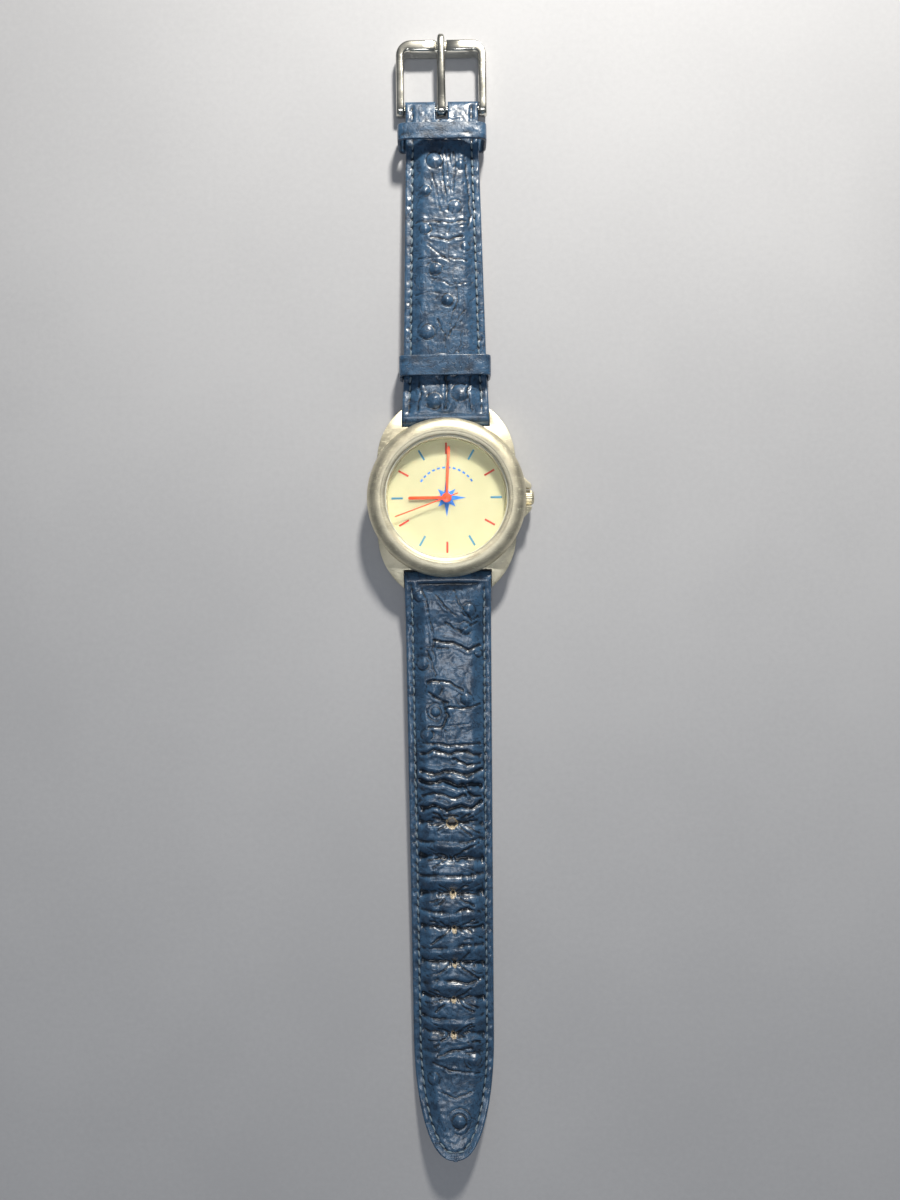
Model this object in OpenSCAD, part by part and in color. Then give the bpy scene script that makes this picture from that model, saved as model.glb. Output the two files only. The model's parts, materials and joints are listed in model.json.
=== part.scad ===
// Wristwatch with a round case, a quartz movement and a two-piece leather strap, laid out flat.
// Millimetres. The origin is on the dial's axis at the outer face of the case back.
// +Y runs towards 12 o'clock and the buckle, +X towards the crown, +Z out of the dial.

/* [Case] */
// Outer radius of the bezel at its widest
bezel_r = 16.4; // [15.8:0.1:17.4]
// Radius of the opening that the crystal fills
crystal_seat_r = 12.65; // [12.3:0.05:12.9]
// Radius of the middle case between the lugs
case_r = 15.4; // [15:0.1:15.6]
// Radius of the bore that holds the dial and the movement
case_bore_r = 12.95; // [12.8:0.05:13.1]
// Height of the bezel's highest edge above the case back
case_h = 8.5; // [8.3:0.1:9.5]
// Height of the shoulder that the bezel is pressed onto
shoulder_z = 5.6; // [5.5:0.05:5.7]
// Radius of the arc that bounds each pair of lugs, seen from above
lug_arc_r = 14.3; // [13.8:0.1:15]
// Distance of that arc's centre from the dial's axis
lug_arc_y = 7.5; // [7:0.1:8]
// Distance of each spring bar from the dial's axis
bar_y = 17.1; // [16.9:0.05:17.3]
// Height of the spring bars above the case back
bar_z = 3.4; // [3.2:0.05:3.5]
// Radius of a spring bar's tube
bar_r = 0.75; // [0.6:0.05:0.9]

/* [Crown] */
// Radius of the crown over its flutes
crown_r = 1.6; // [1.3:0.1:1.9]
// Length of the crown
crown_len = 2.15; // [1.8:0.05:2.6]
// Height of the winding stem above the case back
stem_z = 3.35; // [3.2:0.05:3.4]
// Radius of the winding stem
stem_r = 0.4; // [0.3:0.02:0.42]
// Number of flutes round the crown
crown_flutes = 20; // [12:1:28]

/* [Dial and hands] */
// Height of the dial's face above the case back
dial_z = 5.4; // [5.35:0.01:5.4]
// Thickness of the dial
dial_t = 0.4; // [0.3:0.05:0.5]
// Length of the hour hand
hour_hand_len = 8; // [6:0.1:9]
// Length of the minute hand
minute_hand_len = 10.6; // [9:0.1:11.4]
// Length of the second hand
second_hand_len = 11.4; // [9:0.1:11.6]
// Hour hand's angle clockwise from 12
hour_angle = 270; // [0:1:359]
// Minute hand's angle clockwise from 12
minute_angle = 3; // [0:1:359]
// Second hand's angle clockwise from 12
second_angle = 250; // [0:1:359]

/* [Strap] */
// Width of the strap between the lugs
strap_lug_w = 18; // [15:0.5:19]
// Width of the upper strap where it folds round the buckle bar
strap_buckle_w = 15.2; // [12.6:0.2:16]
// Distance of the buckle bar from the spring bar
upper_len = 65.1; // [55:0.5:80]
// Distance of the tail's tip from the spring bar
lower_len = 119.6; // [95:0.5:145]
// Number of holes for the tongue
hole_count = 7; // [3:1:8]
// Spacing of the holes
hole_pitch = 7.4; // [5:0.1:8]
// Distance of the first hole from the spring bar
first_hole = 50.6; // [45:0.1:60]
// Radius of the holes
hole_r = 0.9; // [0.7:0.05:1.2]
// Distance from the strap's edge to its stitching
stitch_inset = 1.65; // [1.3:0.05:2]
// Distance from one stitch to the next
stitch_pitch = 1.8; // [1.5:0.1:3]

/* [Buckle and keepers] */
// Gap between the strap and each arm of the buckle
buckle_gap = 0.2; // [0.15:0.05:0.6]
// Width of each arm of the buckle
arm_w = 1.7; // [1.3:0.1:2.2]
// Distance from the buckle bar to the far bar's outer edge
buckle_reach = 14; // [12:0.5:17]
// Thickness of the keepers' leather at the sides
keeper_t = 0.7; // [0.5:0.05:1]
// Height of the keepers
keeper_h = 7; // [6.6:0.1:8]
// Distance of the free keeper from the spring bar
free_keeper_at = 10.1; // [9:0.1:20]

/* [Hidden] */
$fn = 96;

// Clearances between pieces that fit together
run = 0.05;    // a pin or shaft that turns in a bore
slip = 0.02;   // a pressed ring, to keep the faces apart
loose = 0.2;   // neighbours that never touch
// Colours
steel = [0.72, 0.71, 0.68];
brass = [0.80, 0.66, 0.36];
navy = [0.10, 0.19, 0.35];
thread_colour = [0.62, 0.72, 0.78];
hand_colour = [0.90, 0.24, 0.12];
mark_red = [0.78, 0.24, 0.20];
mark_blue = [0.22, 0.50, 0.66];

// Heights through the case, from the case back up
back_t = 0.9;                          // thickness of the case back
train_z = 1.75;                        // inner face of the train bridge
bridge_t = 0.45;                       // thickness of the train bridge
plate_z = 3.85;                        // back face of the main plate
motion_z = 4.12;                       // floor of the recess for the motion work
plate_top = 4.55;                      // front face of the main plate
dial_back = dial_z - dial_t;           // back face of the dial
flange_z = dial_z + slip;              // flange that stands on the dial
crystal_z = 6.95;                      // underside of the crystal
crystal_t = 1.05;                      // thickness of the crystal
spigot_top = crystal_z + 0.8;          // top of the spigot that the bezel grips
spigot_r = crystal_seat_r + 1.35;      // outside of that spigot
flange_r = crystal_seat_r - 0.45;      // inside of the flange round the dial
plate_r = case_bore_r - 2.65;          // radius of the main plate
lip_r = case_bore_r - run;             // outside of the case back's snap lip

// Strap loop round each spring bar
loop_r = 2.1;
lug_gap = 0.1;                         // strap to lug, each side
lug_x = strap_lug_w / 2 + lug_gap;     // inner face of each lug
lug_top_r = 30;                        // radius of the lugs' sloping top
lug_under_r = 29;                      // radius of their underside
lug_crest_y = 11;                      // where both of those are level

// Small helpers
module ring(outer, inner, z0, z1) {
    translate([0, 0, z0]) difference() {
        cylinder(r = outer, h = z1 - z0);
        translate([0, 0, -1]) cylinder(r = inner, h = z1 - z0 + 2);
    }
}
module disc(radius, z0, z1) {
    translate([0, 0, z0]) cylinder(r = radius, h = z1 - z0);
}
module rod_x(radius, x0, x1) {
    translate([x0, 0, 0]) rotate([0, 90, 0]) cylinder(r = radius, h = x1 - x0);
}
module post(at, radius, z0, z1) {
    translate([at[0], at[1], 0]) disc(radius, z0, z1);
}
module both_sides() {
    children();
    mirror([1, 0, 0]) children();
}
function polar(radius, angle) = [radius * cos(angle), radius * sin(angle)];
function arc(centre, radius, from, to, steps) =
    [for (i = [0 : steps]) centre + polar(radius, from + (to - from) * i / steps)];

// ---- Case -------------------------------------------------------------

bar_hole_r = 0.45;
bar_tip_r = 0.4;
bar_tip_len = 0.8;
strap_room = bar_y - loop_r - 0.25;    // case wall behind each strap loop
guard_x = crown_r + 0.25;              // inner face of each crown guard, from the stem's axis

module case_wall() {
    rotate_extrude() polygon([
        [case_bore_r, back_t], [case_r - 0.6, back_t], [case_r - 0.1, back_t + 0.5], [case_r, 3],
        [case_r, shoulder_z], [spigot_r, shoulder_z], [spigot_r, spigot_top],
        [crystal_seat_r, spigot_top], [crystal_seat_r, crystal_z], [flange_r, crystal_z],
        [flange_r, flange_z], [case_bore_r, flange_z]]);
}
module lug_pair() {
    lug_floor = back_t + 0.1;
    intersection() {
        translate([0, lug_arc_y, lug_floor]) cylinder(r = lug_arc_r, h = shoulder_z - lug_floor - 0.15);
        translate([-20, 4, 0]) cube([40, 20, 10]);
        translate([0, lug_crest_y, shoulder_z - 0.15 - lug_top_r]) rod_x(lug_top_r, -20, 20);
        translate([0, lug_crest_y, lug_floor + lug_under_r]) rod_x(lug_under_r, -20, 20);
    }
}
module crown_guard() {
    reach = case_r + 2.2;
    translate([0, 0, stem_z - 1.15]) linear_extrude(shoulder_z - 0.3 - stem_z + 1.15) polygon([
        [case_bore_r + 1, guard_x + 3], [case_r - 0.4, guard_x + 3], [case_r + 0.35, guard_x + 2.5],
        [reach - 0.2, guard_x + 0.9], [reach, guard_x + 0.45], [reach - 0.1, guard_x],
        [case_bore_r + 1, guard_x]]);
}
module case_middle() {
    color(steel) difference() {
        union() {
            case_wall();
            difference() {
                union() {
                    lug_pair();
                    mirror([0, 1, 0]) lug_pair();
                    crown_guard();
                    mirror([0, 1, 0]) crown_guard();
                }
                disc(case_bore_r + 0.5, 0, 10);
            }
        }
        for (side = [-1, 1]) {
            translate([-lug_x, side > 0 ? strap_room : -strap_room - 10, 0])
                cube([2 * lug_x, 10, shoulder_z]);
            translate([0, side * bar_y, bar_z])
                rod_x(bar_hole_r, -lug_x - bar_tip_len, lug_x + bar_tip_len);
        }
        translate([0, 0, stem_z]) rod_x(tube_r, case_bore_r - 1, case_r + 1);
        ring(gasket_outer, gasket_inner, back_t - 1, back_t + gasket_t);
    }
}

dome_r = bezel_r - 2.6;                // where the bezel's dome is highest
inner_step_r = crystal_seat_r + 0.75;  // edge between the dome and the inner slope
widest_z = shoulder_z + 0.75;          // height at which the bezel is widest
module bezel() {
    dome = [for (a = [0 : 7.5 : 90])
        [dome_r + (bezel_r - dome_r) * cos(a), widest_z + (case_h - widest_z) * sin(a)]];
    color(steel) rotate_extrude() polygon(concat(
        [[spigot_r + slip, shoulder_z + slip], [bezel_r - 0.7, shoulder_z + slip], [bezel_r, widest_z - 0.2]],
        dome,
        [[inner_step_r, case_h - 0.12], [crystal_seat_r + 0.03, crystal_z + crystal_t + 0.05],
         [crystal_seat_r + 0.03, spigot_top + slip], [spigot_r + slip, spigot_top + slip]]));
}

crystal_r = crystal_seat_r - 0.25;
module crystal() {
    edge = 0.15;
    color([0.85, 0.9, 0.9, 0.35]) rotate_extrude() polygon([
        [0, crystal_z], [crystal_r, crystal_z], [crystal_r, crystal_z + crystal_t - edge],
        [crystal_r - edge, crystal_z + crystal_t], [0, crystal_z + crystal_t]]);
}
module crystal_gasket() {
    color("white") ring(crystal_seat_r, crystal_r, crystal_z, crystal_z + crystal_t - 0.15);
}

gasket_outer = case_bore_r + 0.95;
gasket_inner = case_bore_r + 0.35;
gasket_t = 0.25;
module case_back() {
    notch_w = 3;
    color(steel) difference() {
        union() {
            rotate_extrude() polygon([
                [0, 0], [case_r - 3, 0], [case_r - 2.4, 0.12], [case_r - 1.1, 0.45], [case_r - 1.1, back_t],
                [0, back_t]]);
            ring(lip_r, lip_r - 0.5, back_t, back_t + 1);
        }
        rotate(200) translate([case_r - 1.9, -notch_w / 2, 0]) cube([3, notch_w, 0.35]);
        ring(lip_r - 3.4, lip_r - 3.7, -1, 0.08);
    }
}
module case_back_gasket() {
    color([0.15, 0.15, 0.15]) ring(gasket_outer, gasket_inner, back_t, back_t + gasket_t);
}

// ---- Crown and keyless work ----------------------------------------------

tube_r = 0.9;
tube_bore_r = stem_r + 0.2;
crown_x = case_r + 0.65;               // inner end of the crown
crown_wall_x = crown_x + 1.15;         // where the crown's bore ends
pinion_x = 5.3;                        // inner end of the sliding pinion
pinion_len = 1.5;
pinion_r = 0.68;
square_w = 0.5;                        // square end of the stem
groove_x = 8.2;                        // groove that the setting lever drops into
groove_w = 0.6;
groove_r = 0.2;
lever_pin_r = 0.15;
lever_post_r = 0.25;
lever_arm = 2;                         // from the lever's pivot to its pin
lever_z = 2.35;

module stem_tube() {
    color(steel) translate([0, 0, stem_z]) difference() {
        rod_x(tube_r, case_bore_r + 0.05, crown_x + 0.55);
        rod_x(tube_bore_r, case_bore_r - 1, crown_x + 1);
    }
}
module crown() {
    bore_r = tube_r + 0.15;
    color(steel) translate([0, 0, stem_z]) difference() {
        rotate([90, 0, 90]) rotate_extrude() polygon([
            [0, crown_x], [crown_r - 0.2, crown_x], [crown_r, crown_x + 0.2],
            [crown_r, crown_x + crown_len - 0.6], [crown_r - 0.35, crown_x + crown_len - 0.1],
            [crown_r - 0.7, crown_x + crown_len], [0, crown_x + crown_len]]);
        rod_x(bore_r, crown_x - 1, crown_wall_x);
        rod_x(stem_r, crown_wall_x - 0.5, crown_wall_x + 0.5);
        for (i = [0 : crown_flutes - 1]) {
            flute_at = polar(crown_r + 0.06, 360 * i / crown_flutes);
            translate([0, flute_at[0], flute_at[1]]) rod_x(0.16, crown_x - 1, crown_x + crown_len - 0.5);
        }
    }
}
module crown_gasket() {
    color([0.15, 0.15, 0.15]) translate([0, 0, stem_z]) difference() {
        rod_x(tube_r + 0.15, crown_x + 0.15, crown_x + 0.5);
        rod_x(tube_r + slip, crown_x, crown_x + 1);
    }
}
module winding_stem() {
    color(steel) translate([0, 0, stem_z]) difference() {
        union() {
            rod_x(stem_r, pinion_x + pinion_len + 1, crown_wall_x + 0.5);
            translate([pinion_x - 0.3, -square_w / 2, -square_w / 2])
                cube([pinion_len + 1.5, square_w, square_w]);
        }
        difference() {
            rod_x(stem_r + 1, groove_x - groove_w / 2, groove_x + groove_w / 2);
            rod_x(groove_r, groove_x - 1, groove_x + 1);
        }
    }
}
module sliding_pinion() {
    teeth = 12;
    bore = square_w + 2 * slip;
    color(steel) translate([0, 0, stem_z]) difference() {
        rod_x(pinion_r, pinion_x, pinion_x + pinion_len);
        translate([pinion_x - 1, -bore / 2, -bore / 2]) cube([pinion_len + 2, bore, bore]);
        for (i = [0 : teeth - 1]) {
            rotate([i * 360 / teeth, 0, 0]) translate([pinion_x - 0.1, -0.06, 0.45])
                cube([0.35, 0.12, 0.5]);
        }
        difference() {
            rod_x(1, pinion_x + 0.7, pinion_x + 1.1);
            rod_x(0.5, pinion_x + 0.6, pinion_x + 1.2);
        }
    }
}
module setting_lever() {
    color(steel) union() {
        difference() {
            hull() {
                post([groove_x, lever_arm], 0.6, lever_z, lever_z + 0.3);
                post([groove_x, 0], 0.35, lever_z, lever_z + 0.3);
            }
            post([groove_x, lever_arm], lever_post_r + run, lever_z - 1, lever_z + 1);
        }
        post([groove_x, 0], lever_pin_r, lever_z + 0.3, stem_z - groove_r - 0.05);
    }
}

// ---- Spring bars ---------------------------------------------------------

module spring_bar(y) {
    shoulder = lug_x - 0.05;
    color(steel) translate([0, y, bar_z]) union() {
        rod_x(bar_r, -shoulder + 0.6, shoulder - 0.6);
        rod_x(bar_r - 0.15, -shoulder, shoulder);
        rod_x(bar_tip_r, -shoulder - bar_tip_len + 0.1, shoulder + bar_tip_len - 0.1);
    }
}
module upper_spring_bar() spring_bar(bar_y);
module lower_spring_bar() spring_bar(-bar_y);

// ---- Movement ------------------------------------------------------------

// Tooth counts: the rotor turns 30 times while the second hand turns once
rotor_teeth = 8;
fifth_teeth = 48;
fifth_leaves = 8;
fourth_teeth = 40;
fourth_leaves = 8;
third_teeth = 60;
third_leaves = 8;
centre_teeth = 64;
cannon_leaves = 12;
minute_teeth = 36;
minute_leaves = 10;
hour_teeth = 40;
setting_teeth = 14;
// Modules of the meshing pairs, and the centre distances that follow
centre_mod = 0.07;
third_dist = centre_mod * (centre_teeth + third_leaves) / 2;
third_mod = 2 * third_dist / (third_teeth + fourth_leaves);
fourth_mod = 0.11;
fifth_dist = fourth_mod * (fourth_teeth + fifth_leaves) / 2;
fifth_mod = 0.09;
rotor_dist = fifth_mod * (fifth_teeth + rotor_teeth) / 2;
minute_mod = 0.1;
minute_dist = minute_mod * (cannon_leaves + minute_teeth) / 2;
hour_mod = 2 * minute_dist / (hour_teeth + minute_leaves);
setting_dist = minute_mod * (minute_teeth + setting_teeth) / 2;
// Directions of the centres, and their places
third_dir = 60;
fifth_dir = 225;
rotor_dir = 250;
minute_dir = 20;
setting_dir = -15;
third_at = polar(third_dist, third_dir);
fifth_at = polar(fifth_dist, fifth_dir);
rotor_at = fifth_at + polar(rotor_dist, rotor_dir);
minute_at = polar(minute_dist, minute_dir);
setting_at = minute_at + polar(setting_dist, setting_dir);
battery_at = [-5, 4.1];
battery_r = 3.4;
battery_h = 2.6;
coil_y = -7.2;
coil_r = 1;
coil_z = 2.8;
coil_len = 8.6;
// Heights of the train's wheels and leaves, from the back up
fifth_leaf_z = 1.85;
fourth_z = 1.95;
third_z = 2.45;
fifth_z = 2.85;
third_leaf_z = 3.05;
centre_z = 3.25;
wheel_t = 0.18;
stator_z = 2.15;
stator_t = 0.5;
stator_leg_w = 1.2;
arbor_r = 0.12;
arbor_z = train_z - 0.25;
arbor_top = plate_z + 0.2;
pivot_hole_r = arbor_r + run;
hand_arbor_r = 0.17;
cannon_bore_r = hand_arbor_r + run;
cannon_r = 0.46;
pipe_bore_r = cannon_r + run;
pipe_r = 0.75;
bridge_post_r = 0.7;
board_post = [4.6, -2.2];
chip_at = [7.2, -2.3];
quartz_at = [7.21, -4.68];
quartz_dir = 57;
quartz_r = 0.6;
quartz_len = 2.6;
post_places = [polar(8.2, 50), board_post, polar(5.9, 200)];

// A toothed disc. A tooth, or a gap if gap is true, points in direction dir.
module gear(teeth, mod, z0, z1, dir, gap = false) {
    pitch = 360 / teeth;
    tip = mod * (teeth / 2 + 0.8);
    root = mod * (teeth / 2 - 1.15);
    start = dir + (gap ? pitch / 2 : 0);
    outline = [for (i = [0 : teeth - 1], k = [[root, -0.24], [tip, -0.1], [tip, 0.1], [root, 0.24]])
        polar(k[0], start + (i + k[1]) * pitch)];
    translate([0, 0, z0]) linear_extrude(z1 - z0) polygon(outline);
}
module at(place) {
    translate([place[0], place[1], 0]) children();
}
module wheel_holes(radius, z) {
    for (a = [45 : 90 : 315]) {
        rotate(a) translate([radius * 0.58, 0, z - 1]) cylinder(r = radius * 0.24, h = 2);
    }
}

module rotor() {
    color([0.3, 0.3, 0.32]) at(rotor_at) union() {
        disc(0.7, fourth_z, fourth_z + 0.65);
        disc(arbor_r, arbor_z, arbor_top);
        gear(rotor_teeth, fifth_mod, fifth_z - 0.1, fifth_z + 0.3, rotor_dir + 180, true);
    }
}
module fifth_wheel() {
    color("white") at(fifth_at) difference() {
        union() {
            gear(fifth_teeth, fifth_mod, fifth_z, fifth_z + wheel_t, rotor_dir);
            gear(fifth_leaves, fourth_mod, fifth_leaf_z, fifth_leaf_z + 0.55, fifth_dir + 180, true);
            disc(0.3, fifth_leaf_z + 0.55, fifth_z);
            disc(arbor_r, arbor_z, arbor_top);
        }
        wheel_holes(fifth_mod * fifth_teeth / 2, fifth_z);
    }
}
module fourth_wheel() {
    fourth_leaf_top = third_z + 0.35;
    color("white") difference() {
        union() {
            gear(fourth_teeth, fourth_mod, fourth_z, fourth_z + wheel_t, fifth_dir);
            gear(fourth_leaves, third_mod, fourth_z + wheel_t, fourth_leaf_top, third_dir);
            disc(arbor_r, arbor_z, fourth_z);
            disc(hand_arbor_r, fourth_leaf_top, second_z + hand_t);
        }
        wheel_holes(fourth_mod * fourth_teeth / 2, fourth_z);
    }
}
module third_wheel() {
    color(brass) at(third_at) difference() {
        union() {
            gear(third_teeth, third_mod, third_z, third_z + wheel_t, third_dir + 180, true);
            gear(third_leaves, centre_mod, third_leaf_z, third_leaf_z + 0.55, third_dir + 180, true);
            disc(0.25, third_z + wheel_t, third_leaf_z);
            disc(arbor_r, arbor_z, arbor_top);
        }
        wheel_holes(third_mod * third_teeth / 2, third_z);
    }
}
module centre_wheel() {
    color(brass) difference() {
        gear(centre_teeth, centre_mod, centre_z, centre_z + wheel_t, third_dir);
        disc(cannon_r, centre_z - 1, centre_z + 1);
        wheel_holes(centre_mod * centre_teeth / 2, centre_z);
    }
}
module cannon_pinion() {
    color(brass) difference() {
        union() {
            disc(cannon_r, centre_z - 0.05, minute_z + hand_t);
            gear(cannon_leaves, minute_mod, motion_z + 0.04, motion_z + 0.3, minute_dir);
        }
        disc(cannon_bore_r, 0, 10);
    }
}
module minute_wheel() {
    color("white") at(minute_at) union() {
        gear(minute_teeth, minute_mod, motion_z + 0.05, motion_z + 0.25, minute_dir + 180, true);
        gear(minute_leaves, hour_mod, motion_z + 0.25, motion_z + 0.68, minute_dir + 180, true);
        disc(arbor_r, plate_z + 0.1, dial_back - 0.05);
    }
}
hour_wheel_z = motion_z + 0.46;
module hour_wheel() {
    color(brass) difference() {
        union() {
            gear(hour_teeth, hour_mod, hour_wheel_z, hour_wheel_z + 0.2, minute_dir);
            disc(pipe_r, hour_wheel_z, hour_z + hand_t);
        }
        disc(pipe_bore_r, 0, 10);
    }
}
module setting_wheel() {
    color(steel) at(setting_at) union() {
        gear(setting_teeth, minute_mod, motion_z + 0.05, motion_z + 0.25, setting_dir + 180 + setting_phase);
        disc(arbor_r, plate_z + 0.1, plate_top - 0.02);
    }
}
// The minute wheel already meets the cannon pinion, so the setting wheel is turned to fit its teeth
minute_pitch = 360 / minute_teeth;
minute_offset = (setting_dir - minute_dir - 180) / minute_pitch - 0.5;
setting_phase = -(minute_offset - floor(minute_offset) - 0.5) * 360 / setting_teeth;

module main_plate() {
    color([0.75, 0.75, 0.72]) difference() {
        union() {
            disc(plate_r, plate_z, plate_top);
            ring(plate_r, plate_r - 1.3, plate_top, dial_back);
            ring(plate_r, plate_r - 0.5, train_z - bridge_t, plate_z);
            for (p = post_places) post(p, bridge_post_r, train_z, plate_z);
            post([groove_x, lever_arm], lever_post_r, lever_z - 0.15, plate_z);
        }
        post(battery_at, battery_r + 0.1, 0, battery_top + 0.05);
        disc(hour_mod * hour_teeth / 2 + 0.3, motion_z, 10);
        post(minute_at, minute_mod * minute_teeth / 2 + 0.3, motion_z, 10);
        post(setting_at, minute_mod * setting_teeth / 2 + 0.3, motion_z, 10);
        disc(cannon_r + run, 0, 10);
        for (p = [third_at, fifth_at, rotor_at]) post(p, pivot_hole_r, 0, plate_z + 0.25);
        for (p = [minute_at, setting_at]) post(p, pivot_hole_r, plate_z + 0.05, 10);
        for (p = post_places) post(p, screw_r, 0, plate_z - 0.6);
        for (a = foot_dirs) post(polar(foot_dist, a), foot_r, plate_top - 0.6, 10);
        translate([plate_r - 2, -stem_r - loose, 0]) cube([3, 2 * stem_r + 2 * loose, plate_z]);
        translate([0, 0, stem_z]) rod_x(pinion_r + 0.15, pinion_x - loose, pinion_x + pinion_len + loose);
    }
}
foot_dist = plate_r - 0.65;
foot_r = 0.3;
foot_dirs = [75, 255];
screw_r = 0.3;
battery_top = 3.8;
module train_bridge() {
    color([0.75, 0.75, 0.72]) difference() {
        translate([0, 0, train_z - bridge_t]) linear_extrude(bridge_t) difference() {
            circle(r = plate_r - 0.55);
            translate(battery_at) circle(r = battery_r + 0.3);
            translate([-20, coil_y - 20 + coil_r + 0.4]) square([40, 20]);
            translate([3.4, -20]) square([20, 19]);
        }
        for (p = [[0, 0], third_at, fifth_at, rotor_at]) post(p, pivot_hole_r, 0, 3);
        for (p = post_places) post(p, screw_r, 0, 3);
    }
}
module bridge_screws() {
    color(steel) for (p = post_places) {
        bottom = train_z - (p == board_post ? board_t : bridge_t);
        difference() {
            union() {
                post(p, 0.55, bottom - 0.25, bottom);
                post(p, screw_r, bottom, train_z + 1.2);
            }
            translate([p[0] - 1, p[1] - 0.08, bottom - 0.35]) cube([2, 0.16, 0.2]);
        }
    }
}
board_t = 0.25;
module circuit_board() {
    color([0.12, 0.35, 0.2]) translate([0, 0, train_z - board_t]) difference() {
        linear_extrude(board_t) intersection() {
            circle(r = plate_r - 0.6);
            union() {
                translate([3.6, -20]) square([20, 18.8]);
                translate([-4.5, -20]) square([20, 20 + coil_y + coil_r + 0.2]);
            }
        }
        for (p = post_places) post(p, screw_r, -1, 3);
    }
    color([0.05, 0.05, 0.05]) post(chip_at, 0.8, train_z, train_z + 0.5);
}
module quartz_can() {
    color([0.8, 0.8, 0.8]) at(quartz_at) translate([0, 0, train_z + quartz_r + 0.25])
        rotate([0, 0, quartz_dir]) rod_x(quartz_r, -quartz_len / 2, quartz_len / 2);
}
module coil() {
    cheek_t = 0.3;
    core_half = coil_len / 2 + stator_leg_w;
    winding_half = coil_len / 2 - cheek_t;
    color([0.70, 0.35, 0.15]) translate([0, coil_y, coil_z]) rod_x(coil_r, -winding_half, winding_half);
    color([0.85, 0.85, 0.8]) translate([0, coil_y, 0]) union() {
        both_sides() translate([0, 0, coil_z]) rod_x(coil_r + 0.02, winding_half, coil_len / 2);
        translate([-core_half, -stator_leg_w / 2, stator_z + stator_t])
            cube([2 * core_half, stator_leg_w, 0.5]);
    }
}
module stator() {
    half_len = coil_len / 2 + stator_leg_w;
    color([0.6, 0.6, 0.62]) translate([0, 0, stator_z]) linear_extrude(stator_t) difference() {
        union() {
            translate([-half_len, coil_y - stator_leg_w / 2]) square([stator_leg_w, 3.4]);
            translate([coil_len / 2, coil_y - stator_leg_w / 2]) square([stator_leg_w, 3.4]);
            translate([-half_len, rotor_at[1] - 1.2]) square([2 * half_len, 2.1]);
        }
        translate(rotor_at) circle(r = 0.95);
    }
}
module battery() {
    color([0.8, 0.8, 0.82]) at(battery_at) union() {
        disc(battery_r, battery_top - battery_h + 0.45, battery_top);
        disc(battery_r - 0.35, battery_top - battery_h, battery_top - battery_h + 0.45);
    }
}
module battery_clamp() {
    clamp_t = 0.15;
    color(steel) translate([0, 0, battery_top - battery_h - clamp_t]) linear_extrude(clamp_t) difference() {
        intersection() {
            translate(battery_at) circle(r = battery_r + 1.2);
            circle(r = plate_r - 0.1);
            translate(battery_at) rotate(-39) square([2.2, 20], center = true);
        }
        translate(battery_at) circle(r = 0.7);
    }
}
module movement_holder() {
    color([0.92, 0.92, 0.9]) difference() {
        union() {
            ring(case_bore_r - run, plate_r + run, back_t + 1.05, dial_back);
            ring(lip_r - 0.55, plate_r + run, back_t + 0.1, back_t + 1.05);
        }
        translate([plate_r - 1, -tube_r, stem_z - tube_r]) cube([5, 2 * tube_r, 2 * tube_r]);
    }
}

// ---- Dial and hands --------------------------------------------------------

dial_r = case_bore_r - 0.1;
mark_t = 0.05;
mark_len = 2.35;
mark_w = 0.4;
mark_out = dial_r - 1.45;
hand_t = 0.15;
hour_z = dial_z + 0.35;
minute_z = hour_z + 0.35;
second_z = minute_z + 0.35;
hour_hand_w = 0.6;
minute_hand_w = 0.5;
second_hand_w = 0.22;

module dial() {
    color([0.96, 0.94, 0.85]) difference() {
        union() {
            disc(dial_r, dial_back, dial_z);
            for (a = foot_dirs) post(polar(foot_dist, a), foot_r - slip, plate_top - 0.55, dial_back);
        }
        disc(pipe_r + 0.12, 0, 10);
    }
}
module hour_marks(first) {
    for (hour = [first : 2 : 11]) {
        rotate(-30 * hour) translate([-mark_w / 2, mark_out - mark_len, dial_z])
            cube([mark_w, mark_len, mark_t]);
    }
}
module red_hour_marks() color(mark_red) hour_marks(0);
module blue_hour_marks() color(mark_blue) hour_marks(1);

// A plain compass star round the hands, with a broken arc of dashes above it
module dial_motif() {
    long_r = 4;
    short_r = 2.6;
    waist_r = 1.3;
    star = [for (i = [0 : 15]) polar(i % 2 == 1 ? waist_r : (i % 4 == 0 ? long_r : short_r), 90 + i * 22.5)];
    color([0.16, 0.45, 0.85]) translate([0, 0, dial_z]) linear_extrude(mark_t) {
        difference() {
            polygon(star);
            circle(r = pipe_r + 0.12);
        }
        for (a = [35 : 10 : 145]) {
            rotate(a) translate([6.1, -0.3]) square([0.35, 0.6]);
        }
    }
}

module hand(length, width, hub_r, bore_r, z, tail = 0) {
    translate([0, 0, z]) difference() {
        union() {
            cylinder(r = hub_r, h = hand_t);
            linear_extrude(hand_t) polygon([
                [-width / 2, -tail], [-width / 2, length - width / 2], [0, length],
                [width / 2, length - width / 2], [width / 2, -tail]]);
        }
        translate([0, 0, -1]) cylinder(r = bore_r, h = 3);
    }
}
module hour_hand() {
    color(hand_colour) rotate(-hour_angle) hand(hour_hand_len, hour_hand_w, 1.0, pipe_r, hour_z);
}
module minute_hand() {
    color(hand_colour) rotate(-minute_angle) hand(minute_hand_len, minute_hand_w, 0.8, cannon_r, minute_z);
}
module second_hand() {
    color(hand_colour) rotate(-second_angle) union() {
        hand(second_hand_len, second_hand_w, 0.88, hand_arbor_r, second_z, 2.5);
        disc(0.4, second_z + hand_t, second_z + hand_t + 0.12);
    }
}

// ---- Straps ----------------------------------------------------------------

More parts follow.
